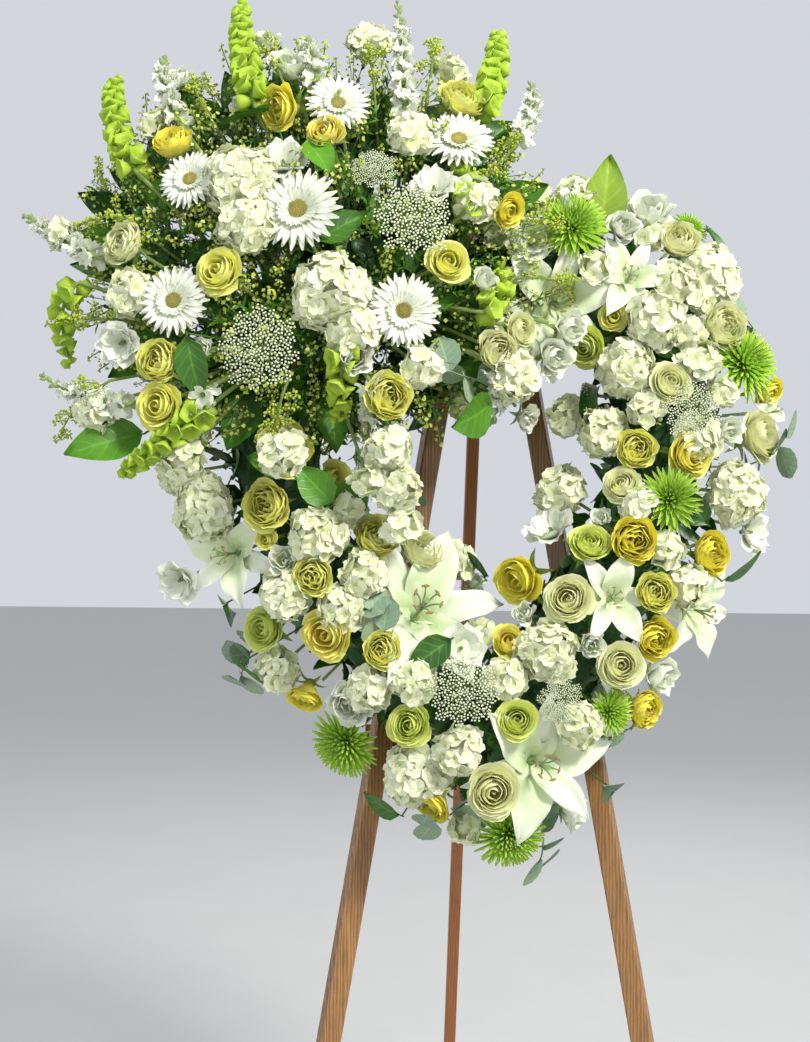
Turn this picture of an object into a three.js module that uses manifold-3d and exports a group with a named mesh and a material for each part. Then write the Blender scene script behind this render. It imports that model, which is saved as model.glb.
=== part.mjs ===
// Open-heart funeral wreath of white and yellow flowers, tied to a folding wooden easel.
// Units are millimetres. +Z is up and the flowers face -Y.

import * as THREE from 'three';
import Module from 'manifold-3d';
import { mergeVertices } from 'three/addons/utils/BufferGeometryUtils.js';

const wasm = await Module();
wasm.setup();

const degrees = THREE.MathUtils.degToRad;

// ---------------------------------------------------------------- driving dimensions

const GAP = 0.3;                         // clearance between two pieces that touch

// Easel: a front frame of two legs that leans back, and a rear leg hinged at its top.
const EASEL_HEIGHT = 1500;
const FRONT_LEAN = degrees(11);
const FOOT_HALF_SPREAD = 265;
const TOP_HALF_SPREAD = 12;
const FRONT_LEG = { width: 26, depth: 20, chamfer: 2, turn: degrees(20) };
const REAR_LEG = { width: 17, depth: 17, chamfer: 1.5, topHeight: 1484, footBack: 459 };
const CROSSBAR = { length: 300, height: 30, depth: 16, drop: 718 };
const PEG = { radius: 5, length: 100, xLeft: -94, xRight: 76.5 };
const TOP_BLOCK = { width: 64, height: 80, depth: 18, drop: 6 };
const BRACKET = { width: 23, height: 42, plate: 2, reach: 26, slot: 18.4 };
const HINGE = { back: 45, height: 1470, radius: 3, length: 31, headRadius: 5, headLength: 3 };
const BEHIND_LEGS = 14.2;                // from the middle of the front legs to their back faces

// Wreath form: wet foam in a plastic tray, shaped as an open heart round one centreline.
const HEART = { halfWidth: 245, notch: 200, crown: 315, shoulder: 97, belly: -70, tip: -300 };
const HEART_TURN = degrees(3.5);
const HEART_PLACE = { x: -22, drop: 428 };   // its middle, from the top of the front frame
const TRAY = { halfWidth: 52, thickness: 5 };
const FOAM = { halfWidth: 48, thickness: 64, bevel: 12 };
const TRAY_BACK = BEHIND_LEGS;
const FOAM_BACK = TRAY_BACK + TRAY.thickness + GAP;
const FOAM_FRONT = FOAM_BACK + FOAM.thickness;

// Spray block: a second piece of foam, tied on the front of the heart's left lobe.
const SPRAY = { x: -165, z: 220, length: 250, height: 110, thickness: 60, corner: 30, turn: degrees(32) };
const SPRAY_TRAY_THICKNESS = 4;
const SPRAY_TRAY_BACK = FOAM_FRONT + GAP;
const SPRAY_BACK = SPRAY_TRAY_BACK + SPRAY_TRAY_THICKNESS + GAP;
const SPRAY_DOME = { x: -190, z: 225, reach: 360, base: 95, depth: 175 };

// Flower heads sit on a rounded band this far from the heart's centreline.
const BAND = { middle: 57, reach: 120 };
const STEM_RADIUS = 2.5;
const STEM_TIP_CLEAR = 24;               // where a stem stops short of the centreline

// The bounding box's bottom centre is the origin.
const ORIGIN_SHIFT = new THREE.Vector3(114, -60, 0);

// ---------------------------------------------------------------- materials

const finish = (color, roughness, metalness = 0) =>
    new THREE.MeshStandardMaterial({ color, roughness, metalness });

const MATERIALS = {
    wood: finish(0xa8642f, 0.6),
    steel: finish(0x8f9296, 0.35, 1),
    foam: finish(0x2f5a2b, 0.95),
    tray: finish(0x1d3a22, 0.6),
    wire: finish(0x2c4a2c, 0.5, 1),
    white: finish(0xf5f4ea, 0.6),
    cream: finish(0xf2ecc0, 0.6),
    yellow: finish(0xf2e25c, 0.6),
    lime: finish(0x9ecb2c, 0.6),
    bell: finish(0xa9cf45, 0.6),
    leaf: finish(0x2f6a24, 0.45),
};

// ---------------------------------------------------------------- solids and cuts

function solidOf(geometry) {
    const bare = geometry.index ? geometry.clone() : mergeVertices(geometry.clone());
    bare.deleteAttribute('normal');
    bare.deleteAttribute('uv');
    const merged = mergeVertices(bare, 1e-4);
    return new wasm.Manifold(new wasm.Mesh({
        numProp: 3,
        vertProperties: new Float32Array(merged.attributes.position.array),
        triVerts: new Uint32Array(merged.index.array),
    }));
}

function geometryOf(solid) {
    const { vertProperties, triVerts } = solid.getMesh();
    const geometry = new THREE.BufferGeometry();
    geometry.setAttribute('position', new THREE.BufferAttribute(vertProperties, 3));
    geometry.setIndex(new THREE.BufferAttribute(triVerts, 1));
    return geometry;
}

// A cut can leave offcuts behind: the piece that stays is the largest.
function largestPiece(solid) {
    const pieces = solid.decompose();
    return pieces.reduce((best, piece) => (piece.volume() > best.volume() ? piece : best));
}

function mesh(name, solid, material) {
    const made = new THREE.Mesh(geometryOf(solid), material);
    made.name = name;
    return made;
}

function boxSolid(width, depth, height, x, y, z) {
    return solidOf(new THREE.BoxGeometry(width, depth, height).translate(x, y, z));
}

// A round bar along X.
function rodAlongX(radius, length, x, y, z, sides = 16) {
    const rod = new THREE.CylinderGeometry(radius, radius, length, sides);
    return solidOf(rod.rotateZ(Math.PI / 2).translate(x, y, z));
}

// A round bar along Y.
function rodAlongY(radius, length, x, y, z, sides = 12) {
    return solidOf(new THREE.CylinderGeometry(radius, radius, length, sides).translate(x, y, z));
}

// ---------------------------------------------------------------- easel

// Stock with broken edges, leaned by a shear so that its foot lies flat on the floor.
function leaningBar({ width, depth, chamfer, turn = 0 }, foot, top, grow = 0) {
    const w = width / 2 + grow;
    const d = depth / 2 + grow;
    const c = chamfer;
    const corners = [[w - c, -d], [w, c - d], [w, d - c], [w - c, d],
        [c - w, d], [-w, d - c], [-w, c - d], [c - w, -d]];
    const section = new THREE.Shape(corners.map(([x, y]) =>
        new THREE.Vector2(x, y).rotateAround(new THREE.Vector2(), turn)));
    const length = top.z - foot.z;
    const bar = new THREE.ExtrudeGeometry(section, { depth: length, bevelEnabled: false });
    const slopeX = (top.x - foot.x) / length;
    const slopeY = (top.y - foot.y) / length;
    bar.applyMatrix4(new THREE.Matrix4().set(
        1, 0, slopeX, foot.x,
        0, 1, slopeY, foot.y,
        0, 0, 1, foot.z,
        0, 0, 0, 1,
    ));
    return solidOf(bar);
}

// The front legs meet in a mitre on the middle plane.
function frontLeg(side) {
    const foot = new THREE.Vector3(side * FOOT_HALF_SPREAD, -EASEL_HEIGHT * Math.tan(FRONT_LEAN), 0);
    const top = new THREE.Vector3(side * TOP_HALF_SPREAD, 0, EASEL_HEIGHT);
    const leg = leaningBar({ ...FRONT_LEG, turn: -side * FRONT_LEG.turn }, foot, top);
    const mitre = boxSolid(100, 200, 400, side * (GAP / 2 - 50), 0, EASEL_HEIGHT);
    return largestPiece(leg.subtract(mitre));
}

function rearLeg() {
    const slope = (REAR_LEG.footBack - HINGE.back) / HINGE.height;
    const foot = new THREE.Vector3(0, REAR_LEG.footBack, 0);
    const top = new THREE.Vector3(0, REAR_LEG.footBack - slope * REAR_LEG.topHeight, REAR_LEG.topHeight);
    const bore = rodAlongX(HINGE.radius + GAP, 60, 0, HINGE.back, HINGE.height);
    return leaningBar(REAR_LEG, foot, top).subtract(bore);
}

// The hinge pin's place in the leaning front frame.
function hingeInFrame() {
    const below = HINGE.height - EASEL_HEIGHT;
    return {
        y: HINGE.back * Math.cos(FRONT_LEAN) - below * Math.sin(FRONT_LEAN),
        z: HINGE.back * Math.sin(FRONT_LEAN) + below * Math.cos(FRONT_LEAN),
    };
}

function topBlock() {
    return boxSolid(TOP_BLOCK.width, TOP_BLOCK.depth, TOP_BLOCK.height,
        0, BEHIND_LEGS + TOP_BLOCK.depth / 2, -TOP_BLOCK.drop - TOP_BLOCK.height / 2);
}

// A folded steel U: a plate on the block and two cheeks that carry the pin.
function hingeBracket() {
    const pin = hingeInFrame();
    const front = BEHIND_LEGS + TOP_BLOCK.depth + GAP;
    const body = boxSolid(BRACKET.width, BRACKET.reach, BRACKET.height, 0, front + BRACKET.reach / 2, pin.z - 6);
    const slot = boxSolid(BRACKET.slot, BRACKET.reach, BRACKET.height + 2,
        0, front + BRACKET.plate + BRACKET.reach / 2, pin.z - 6);
    const bore = rodAlongX(HINGE.radius + GAP, 60, 0, pin.y, pin.z);
    return body.subtract(slot).subtract(bore);
}

function hingePin() {
    const pin = hingeInFrame();
    const shank = rodAlongX(HINGE.radius, HINGE.length, 0, pin.y, pin.z);
    const head = (side) => rodAlongX(HINGE.headRadius, HINGE.headLength,
        side * (HINGE.length - HINGE.headLength) / 2, pin.y, pin.z);
    return shank.add(head(1)).add(head(-1));
}

const PEG_MIDDLE = BEHIND_LEGS + CROSSBAR.depth + 2 - PEG.length / 2;
const pegSolid = (x, grow = 0) => rodAlongY(PEG.radius + grow, PEG.length, x, PEG_MIDDLE, -CROSSBAR.drop);

function crossbar() {
    const bar = boxSolid(CROSSBAR.length, CROSSBAR.depth, CROSSBAR.height,
        0, BEHIND_LEGS + CROSSBAR.depth / 2, -CROSSBAR.drop);
    return bar.subtract(pegSolid(PEG.xLeft, GAP)).subtract(pegSolid(PEG.xRight, GAP));
}

// ---------------------------------------------------------------- heart form

const heartUpper = new THREE.CubicBezierCurve(
    new THREE.Vector2(0, HEART.notch),
    new THREE.Vector2(0.35 * HEART.halfWidth, HEART.crown - 15),
    new THREE.Vector2(HEART.halfWidth, HEART.crown),
    new THREE.Vector2(HEART.halfWidth, HEART.shoulder),
);
const heartLower = new THREE.CubicBezierCurve(
    new THREE.Vector2(HEART.halfWidth, HEART.shoulder),
    new THREE.Vector2(HEART.halfWidth, HEART.belly),
    new THREE.Vector2(0.3 * HEART.halfWidth, HEART.tip + 100),
    new THREE.Vector2(0, HEART.tip),
);

// Points from the notch down the right side to the tip, then up the left side.
function heartPoints(upperSteps, lowerSteps) {
    const right = [...upperSteps.map((t) => heartUpper.getPoint(t)), ...lowerSteps.map((t) => heartLower.getPoint(t))];
    const left = right.slice(1, -1).reverse().map((p) => new THREE.Vector2(-p.x, p.y));
    return [...right, ...left].map((p) => p.rotateAround(new THREE.Vector2(), HEART_TURN));
}

// The centreline pushed outwards by an offset, or inwards by a negative one, with mitred corners.
function heartOffset(offset) {
    const points = heartPoints([0, 0.2, 0.35, 0.5, 0.65, 0.82], [0, 0.17, 0.34, 0.5, 0.64, 1]);
    return points.map((point, i) => {
        const before = points[(i + points.length - 1) % points.length];
        const after = points[(i + 1) % points.length];
        const arriving = point.clone().sub(before).normalize();
        const leaving = after.clone().sub(point).normalize();
        const along = arriving.clone().add(leaving).normalize();
        const outward = new THREE.Vector2(-along.y, along.x);
        return point.clone().addScaledVector(outward, offset / along.dot(leaving));
    });
}

// A heart-shaped ring standing in the X-Z plane, from one depth forwards.
function heartRing(halfWidth, back, thickness, bevel = 0) {
    const shape = new THREE.Shape(heartOffset(halfWidth - bevel));
    shape.holes.push(new THREE.Path(heartOffset(bevel - halfWidth).reverse()));
    const ring = new THREE.ExtrudeGeometry(shape, {
        depth: thickness - 2 * bevel,
        bevelEnabled: bevel > 0,
        bevelThickness: bevel,
        bevelSize: bevel,
        bevelSegments: 1,
    });
    return solidOf(ring.translate(0, 0, back + bevel).rotateX(Math.PI / 2));
}

function sprayBlock(length, height, back, thickness) {
    const r = SPRAY.corner;
    const x = length / 2;
    const z = height / 2;
    const outline = new THREE.Shape();
    outline.moveTo(r - x, -z).lineTo(x - r, -z).quadraticCurveTo(x, -z, x, r - z);
    outline.lineTo(x, z - r).quadraticCurveTo(x, z, x - r, z).lineTo(r - x, z);
    outline.quadraticCurveTo(-x, z, -x, z - r).lineTo(-x, r - z).quadraticCurveTo(-x, -z, r - x, -z);
    const block = new THREE.ExtrudeGeometry(outline, { depth: thickness, bevelEnabled: false, curveSegments: 4 });
    return solidOf(block.rotateZ(SPRAY.turn).translate(SPRAY.x, SPRAY.z, back).rotateX(Math.PI / 2));
}

// ---------------------------------------------------------------- where flowers stand

const centreline = heartPoints(
    Array.from({ length: 40 }, (_, i) => i / 40),
    Array.from({ length: 61 }, (_, i) => i / 60),
);

// A head on the heart leans away from the nearest point of the centreline, where its stem is stuck.
function onHeart(x, z) {
    const here = new THREE.Vector2(x, z);
    const near = centreline.reduce((best, p) => (p.distanceTo(here) < best.distanceTo(here) ? p : best));
    const across = Math.min(0.97, near.distanceTo(here) / BAND.reach);
    const depth = BAND.middle + BAND.reach * Math.sqrt(1 - across * across);
    return { head: new THREE.Vector3(x, -depth, z), root: new THREE.Vector3(near.x, -BAND.middle, near.y) };
}

// A head on the spray stands on a dome, and its stem starts inside the spray block.
function onSpray(x, z) {
    const out = Math.min(1, Math.hypot(x - SPRAY_DOME.x, z - SPRAY_DOME.z) / SPRAY_DOME.reach);
    const depth = SPRAY_DOME.base + SPRAY_DOME.depth * Math.sqrt(1 - out * out);
    const head = new THREE.Vector3(x, -depth, z);
    const middle = new THREE.Vector3(SPRAY.x, 0, SPRAY.z);
    const long = new THREE.Vector3(Math.cos(SPRAY.turn), 0, Math.sin(SPRAY.turn));
    const slide = THREE.MathUtils.clamp(head.clone().sub(middle).dot(long) * 0.4, -80, 80);
    const root = middle.addScaledVector(long, slide);
    root.y = -(SPRAY_BACK + 15);
    return { head, root };
}

// ---------------------------------------------------------------- flower shapes

// Turns a profile of [radius, height] pairs about Y, from the stem's tip up to the crown.
function turned(profile, sides, grow) {
    const widest = profile.reduce((best, p, i) => (p[0] > profile[best][0] ? i : best), 0);
    const points = profile.map(([radius, height], i) => new THREE.Vector2(
        radius > 0 ? radius + grow : 0,
        height + (i > widest ? grow : -grow),
    ));
    return new THREE.LatheGeometry(points, sides);
}

// Draws every second rib of a turned head in, which leaves one lobe for each petal.
function petalled(geometry, petals, pinch, beyond) {
    const position = geometry.attributes.position;
    for (let i = 0; i < position.count; i += 1) {
        const x = position.getX(i);
        const z = position.getZ(i);
        const radius = Math.hypot(x, z);
        const lobe = Math.abs(Math.cos(Math.atan2(z, x) * petals / 2));
        const scale = radius > beyond ? pinch + (1 - pinch) * lobe : 1;
        position.setX(i, x * scale);
        position.setZ(i, z * scale);
    }
    return geometry;
}

const stemmed = (stem, neck, rest) => [[0, -stem], [STEM_RADIUS, -stem], [STEM_RADIUS, -neck], ...rest];

const HEADS = {
    rose(size, stem, grow) {
        const r = size / 2;
        return turned(stemmed(stem, 0.95 * r, [[0.55 * r, -0.75 * r], [0.95 * r, -0.1 * r],
            [0.8 * r, 0.45 * r], [0.35 * r, 0.55 * r], [0, 0.4 * r]]), 8, grow);
    },
    gerbera(size, stem, grow) {
        const r = size / 2;
        return turned(stemmed(stem, 0.35 * r, [[0.3 * r, -0.25 * r], [0.95 * r, 0],
            [0.9 * r, 0.1 * r], [0.3 * r, 0.08 * r], [0.2 * r, 0.18 * r], [0, 0.2 * r]]), 16, grow);
    },
    lily(size, stem, grow) {
        const r = size / 2;
        const star = turned(stemmed(stem, 0.8 * r, [[0.2 * r, -0.55 * r], [0.6 * r, 0.12 * r], [0.95 * r, 0.05 * r],
            [0.6 * r, 0.24 * r], [0.14 * r, -0.2 * r], [0, -0.25 * r]]), 12, grow);
        return petalled(star, 6, 0.55, 0.4 * r);
    },
    hydrangea(size, stem, grow) {
        const r = size / 2;
        const dome = turned(stemmed(stem, 0.8 * r, [[0.7 * r, -0.55 * r], [0.98 * r, 0],
            [0.8 * r, 0.5 * r], [0.4 * r, 0.8 * r], [0, 0.9 * r]]), 12, grow);
        return petalled(dome, 6, 0.92, 0.3 * r);
    },
    mum(size, stem, grow) {
        const r = size / 2;
        const pompon = turned(stemmed(stem, 0.4 * r, [[0.6 * r, -0.3 * r], [r, 0.05 * r],
            [0.85 * r, 0.4 * r], [0.4 * r, 0.6 * r], [0, 0.55 * r]]), 16, grow);
        return petalled(pompon, 8, 0.88, 0.5 * r);
    },
    lace(size, stem, grow) {
        const r = size / 2;
        return turned(stemmed(stem, 0.85 * r, [[0.95 * r, -0.05 * r], [0.9 * r, 0.1 * r],
            [0.5 * r, 0.26 * r], [0, 0.3 * r]]), 12, grow);
    },
};

function turnedBloom({ kind, size, head, root }, grow) {
    const axis = head.clone().sub(root);
    const stem = axis.length() - STEM_TIP_CLEAR;
    const geometry = HEADS[kind](size, stem, grow);
    geometry.applyQuaternion(new THREE.Quaternion().setFromUnitVectors(new THREE.Vector3(0, 1, 0), axis.normalize()));
    return solidOf(geometry.translate(head.x, head.y, head.z));
}

// A stalk set with florets, thick over the middle of its length and bare near the root.
const SPIKES = {
    snapdragon: [[0, 2.5], [0.42, 2.5], [0.5, 15], [0.72, 16], [0.88, 9], [1, 4]],
    bells: [[0, 3], [0.35, 3], [0.42, 16], [0.75, 20], [0.92, 15], [1, 8]],
};
const SPIKE_SIDES = 8;

function spike({ kind, root, base, tip, thick = 1 }, grow) {
    const away = base.clone().sub(root).normalize();
    const start = root.clone().addScaledVector(away, STEM_TIP_CLEAR - grow);
    const path = new THREE.CatmullRomCurve3([start, base, tip]);
    const rings = SPIKES[kind].map(([t, radius]) => {
        const along = path.getTangentAt(t);
        const turn = new THREE.Quaternion().setFromUnitVectors(new THREE.Vector3(0, 0, 1), along);
        const centre = path.getPointAt(t);
        const r = (radius > 3 ? radius * thick : radius) + grow;
        return Array.from({ length: SPIKE_SIDES }, (_, k) => {
            const angle = (2 * Math.PI * k) / SPIKE_SIDES;
            return new THREE.Vector3(r * Math.cos(angle), r * Math.sin(angle), 0).applyQuaternion(turn).add(centre);
        });
    });
    const corners = rings.flat();
    const faces = [];
    for (let i = 0; i + 1 < rings.length; i += 1) {
        for (let k = 0; k < SPIKE_SIDES; k += 1) {
            const a = i * SPIKE_SIDES + k;
            const b = i * SPIKE_SIDES + (k + 1) % SPIKE_SIDES;
            faces.push(a, b, b + SPIKE_SIDES, a, b + SPIKE_SIDES, a + SPIKE_SIDES);
        }
    }
    const last = corners.length - SPIKE_SIDES;
    for (let k = 1; k + 1 < SPIKE_SIDES; k += 1) {
        faces.push(0, k + 1, k, last, last + k, last + k + 1);
    }
    const geometry = new THREE.BufferGeometry().setFromPoints(corners);
    geometry.setIndex(faces);
    return solidOf(geometry);
}

// A flat leaf on its stalk: the stalk's end is in the foam, and the blade points the way it grows.
function leaf({ root, head, size, width }, grow) {
    const axis = head.clone().sub(root);
    const stalk = axis.length() - STEM_TIP_CLEAR;
    const half = width / 2 + grow;
    const outline = new THREE.Shape();
    outline.moveTo(-2 - grow, -stalk - grow).lineTo(2 + grow, -stalk - grow).lineTo(2 + grow, -size / 2);
    outline.quadraticCurveTo(1.3 * half, -size * 0.3, half, 0).quadraticCurveTo(0.7 * half, size * 0.35, 0, size / 2 + grow);
    outline.quadraticCurveTo(-0.7 * half, size * 0.35, -half, 0).quadraticCurveTo(-1.3 * half, -size * 0.3, -2 - grow, -size / 2);
    const thickness = 3 + 2 * grow;
    const blade = new THREE.ExtrudeGeometry(outline, { depth: thickness, bevelEnabled: false, curveSegments: 4 });
    blade.translate(0, 0, -thickness / 2);
    const up = axis.normalize();
    const side = new THREE.Vector3().crossVectors(up, new THREE.Vector3(0, -1, 0)).normalize();
    const face = new THREE.Vector3().crossVectors(side, up);
    blade.applyMatrix4(new THREE.Matrix4().makeBasis(side, up, face));
    return solidOf(blade.translate(head.x, head.y, head.z));
}

// ---------------------------------------------------------------- the flowers, by name

const heart = (kind, name, colour, x, z, size) =>
    ({ kind, name, colour, size, ...onHeart(x, z) });
const spray = (kind, name, colour, x, z, size) =>
    ({ kind, name, colour, size, ...onSpray(x, z) });

// A spike's base is on the spray's dome, and its tip is given with its own depth.
const spraySpike = (kind, name, baseX, baseZ, tipX, tipZ, tipDepth, thick) => {
    const { head, root } = onSpray(baseX, baseZ);
    const colour = kind === 'bells' ? 'bell' : 'white';
    return { kind, name, colour, root, base: head, tip: new THREE.Vector3(tipX, -tipDepth, tipZ), thick };
};

// Where two heads press on each other, the one named first keeps its shape.
const BLOOMS = [
    heart('lily', 'lily_centre', 'white', -65, -140, 165),
    heart('lily', 'lily_bottom', 'white', 75, -325, 145),
    heart('lily', 'lily_top', 'white', 95, 225, 130),
    heart('lily', 'lily_right', 'white', 280, -140, 105),
    heart('lily', 'lily_left', 'white', -300, -80, 105),
    heart('lily', 'lily_middle', 'white', 155, -130, 95),

    spray('gerbera', 'gerbera_centre', 'white', -215, 300, 105),
    spray('gerbera', 'gerbera_right', 'white', -95, 185, 90),
    spray('gerbera', 'gerbera_left', 'white', -355, 195, 88),
    spray('gerbera', 'gerbera_far_right', 'white', -30, 400, 92),
    spray('gerbera', 'gerbera_far_left', 'white', -340, 340, 80),
    spray('gerbera', 'gerbera_top', 'white', -172, 438, 86),

    heart('rose', 'rose_hole', 'yellow', 50, -105, 66),
    heart('rose', 'rose_orange', 'yellow', 250, 40, 62),
    heart('rose', 'rose_bottom', 'cream', 15, -355, 68),
    heart('rose', 'rose_upper_left', 'yellow', -230, 38, 66),
    heart('rose', 'rose_far_right', 'cream', 352, 78, 70),
    spray('rose', 'rose_spray_centre', 'yellow', -305, 228, 62),
    spray('rose', 'rose_spray_right', 'yellow', -44, 245, 56),
    spray('rose', 'rose_spray_top', 'yellow', -238, 432, 60),
    spray('rose', 'rose_spray_low', 'yellow', -372, 78, 62),

    spray('hydrangea', 'hydrangea_spray_left', 'white', -288, 345, 88),
    spray('hydrangea', 'hydrangea_spray_centre', 'white', -178, 205, 90),
    heart('hydrangea', 'hydrangea_left', 'white', -330, -25, 78),
    heart('hydrangea', 'hydrangea_lower_left', 'white', -74, -340, 80),
    heart('hydrangea', 'hydrangea_top_right', 'white', 290, 275, 84),
    heart('hydrangea', 'hydrangea_right', 'white', 318, 0, 76),
    heart('hydrangea', 'hydrangea_hole', 'white', 102, 8, 62),

    heart('mum', 'mum_lime_right', 'lime', 325, 160, 86),
    heart('mum', 'mum_top', 'lime', 112, 318, 80),
    heart('mum', 'mum_left', 'lime', -155, -300, 80),
    heart('mum', 'mum_bottom', 'lime', 40, -408, 78),

    heart('lace', 'lace_low', 'white', -20, -240, 90),
    spray('lace', 'lace_spray_right', 'white', -84, 290, 96),
    spray('lace', 'lace_spray_left', 'white', -256, 137, 96),
];

const SPRAY_SPIKES = [
    spraySpike('snapdragon', 'snapdragon_top', -93, 436, -98, 630, 95, 1),
    spraySpike('snapdragon', 'snapdragon_top_left', -359, 422, -387, 548, 100, 0.8),
    spraySpike('snapdragon', 'snapdragon_left', -448, 255, -556, 342, 95, 0.9),
    spraySpike('snapdragon', 'snapdragon_low_left', -409, 82, -518, 128, 150, 1),
    spraySpike('snapdragon', 'snapdragon_right', 47, 419, 70, 524, 100, 0.9),
    spraySpike('bells', 'bells_top', -269, 437, -293, 612, 110, 1),
    spraySpike('bells', 'bells_left', -407, 359, -448, 510, 110, 1),
    spraySpike('bells', 'bells_right', 2, 449, 28, 582, 110, 1),
    spraySpike('bells', 'bells_low', -315, 75, -415, 5, 190, 0.7),
];

const LEAVES = [
    { ...heart('leaf', 'leaf_top', 'leaf', 158, 372, 95), width: 52 },
    { ...spray('leaf', 'leaf_left', 'leaf', -440, 40, 90), width: 50 },
];

// ---------------------------------------------------------------- assembly

const solidFor = (item, grow) => {
    if (item.kind in SPIKES) return spike(item, grow);
    return item.kind === 'leaf' ? leaf(item, grow) : turnedBloom(item, grow);
};

const touches = (a, b) => a.intersect(b).volume() > 0;

// Each flower yields to those before it and leaves the gap that touching pieces keep.
const flowers = [];
for (const item of [...BLOOMS, ...SPRAY_SPIKES, ...LEAVES]) {
    let solid = solidFor(item, 0);
    for (const earlier of flowers) {
        if (touches(solid, earlier.clearance)) {
            solid = largestPiece(solid.subtract(earlier.clearance));
        }
    }
    flowers.push({ item, solid, clearance: solidFor(item, 2 * GAP).add(solidFor(item, 0)) });
}

function withPockets(block) {
    const cut = flowers.reduce((left, { clearance }) =>
        (touches(left, clearance) ? left.subtract(clearance) : left), block);
    return largestPiece(cut);
}

// A wire from the heart's notch up and over the top block ties the form to the easel.
function tieWire() {
    const path = new THREE.CatmullRomCurve3([
        new THREE.Vector3(-16, -TRAY_BACK - 2.5, 271.5),
        new THREE.Vector3(-8, -TRAY_BACK - 4, 320),
        new THREE.Vector3(42, -TRAY_BACK - 5, 425),
        new THREE.Vector3(42, 8, 436),
        new THREE.Vector3(42, 38, 424),
        new THREE.Vector3(42, 38, 395),
    ]);
    const section = new THREE.Shape().absarc(0, 0, 1.2, 0, 2 * Math.PI);
    return solidOf(new THREE.ExtrudeGeometry(section, { steps: 24, curveSegments: 6, extrudePath: path }));
}

const wreath = new THREE.Group();
wreath.position.set(HEART_PLACE.x, 0, -HEART_PLACE.drop);
wreath.add(
    mesh('heart_tray', heartRing(TRAY.halfWidth, TRAY_BACK, TRAY.thickness), MATERIALS.tray),
    mesh('heart_foam', withPockets(heartRing(FOAM.halfWidth, FOAM_BACK, FOAM.thickness, FOAM.bevel)), MATERIALS.foam),
    mesh('spray_tray', sprayBlock(SPRAY.length + 8, SPRAY.height + 8, SPRAY_TRAY_BACK, SPRAY_TRAY_THICKNESS),
        MATERIALS.tray),
    mesh('spray_foam', withPockets(sprayBlock(SPRAY.length, SPRAY.height, SPRAY_BACK, SPRAY.thickness)),
        MATERIALS.foam),
    mesh('tie_wire', tieWire(), MATERIALS.wire),
    ...flowers.map(({ item, solid }) => mesh(item.name, solid, MATERIALS[item.colour])),
);

const frontFrame = new THREE.Group();
frontFrame.position.z = EASEL_HEIGHT;
frontFrame.rotation.x = -FRONT_LEAN;
frontFrame.add(
    mesh('top_block', topBlock(), MATERIALS.wood),
    mesh('hinge_bracket', hingeBracket(), MATERIALS.steel),
    mesh('hinge_pin', hingePin(), MATERIALS.steel),
    mesh('crossbar', crossbar(), MATERIALS.wood),
    mesh('peg_left', pegSolid(PEG.xLeft), MATERIALS.wood),
    mesh('peg_right', pegSolid(PEG.xRight), MATERIALS.wood),
    wreath,
);

const wreathOnEasel = new THREE.Group();
wreathOnEasel.position.copy(ORIGIN_SHIFT);
wreathOnEasel.add(
    mesh('front_leg_left', frontLeg(-1), MATERIALS.wood),
    mesh('front_leg_right', frontLeg(1), MATERIALS.wood),
    mesh('rear_leg', rearLeg(), MATERIALS.wood),
    frontFrame,
);

export default wreathOnEasel;
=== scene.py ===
"""An open heart of white, yellow and lime flowers with a corner spray, on a folding wooden easel."""

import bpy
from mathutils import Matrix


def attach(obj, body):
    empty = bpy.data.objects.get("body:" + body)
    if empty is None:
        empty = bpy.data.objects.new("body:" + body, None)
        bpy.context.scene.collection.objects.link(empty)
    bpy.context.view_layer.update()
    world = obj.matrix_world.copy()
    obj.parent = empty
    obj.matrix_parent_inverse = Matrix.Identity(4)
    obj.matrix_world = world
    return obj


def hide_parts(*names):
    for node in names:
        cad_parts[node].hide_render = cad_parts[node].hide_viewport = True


bl_info = {
    "name": "Heart wreath on an easel",
    "version": (1, 0, 0),
    "blender": (4, 5, 0),
    "location": "3D View > Sidebar > Wreath",
    "description": "Builds an open heart of flowers with a corner spray on a folding wooden easel",
    "category": "Add Mesh",
}

import math

import bpy
import numpy as np
from bpy.props import FloatProperty, FloatVectorProperty, IntProperty, PointerProperty
from mathutils import Matrix, Vector

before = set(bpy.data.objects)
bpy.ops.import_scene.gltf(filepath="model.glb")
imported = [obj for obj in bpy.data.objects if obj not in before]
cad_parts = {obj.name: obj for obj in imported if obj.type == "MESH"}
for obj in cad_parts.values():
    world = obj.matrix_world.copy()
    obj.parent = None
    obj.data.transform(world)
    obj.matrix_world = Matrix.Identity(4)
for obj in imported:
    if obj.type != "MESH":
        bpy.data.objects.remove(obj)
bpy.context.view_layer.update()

# ---------------------------------------------------------------- where things stand, in millimetres

LEAN = math.radians(11)
APEX = np.array((114.0, -60.0, 1500.0))
HEART_MIDDLE = np.array((-22.0, 0.0, -428.0))
TO_ROW = np.array(((1, 0, 0), (0, math.cos(LEAN), math.sin(LEAN)), (0, -math.sin(LEAN), math.cos(LEAN))))
HEART = {"half": 245, "notch": 200, "crown": 315, "shoulder": 97, "belly": -70, "tip": -300}
HEART_TURN = math.radians(3.5)
BAND_MIDDLE, BAND_REACH = 57, 120
SPRAY_MIDDLE = np.array((-165.0, 0.0, 220.0))
SPRAY_TURN = math.radians(32)
SPRAY_ROOT_DEPTH = 103
DOME = {"x": -190, "z": 225, "reach": 360, "base": 95, "depth": 175}
STEM_TIP_CLEAR = 24
GOLDEN, FIFTH, ROUND = 2.4, 1.257, 6.3  # turns in radians: from leaf to leaf, a fifth, a little over one


def unit(vector):
    return vector / np.linalg.norm(vector)


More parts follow.
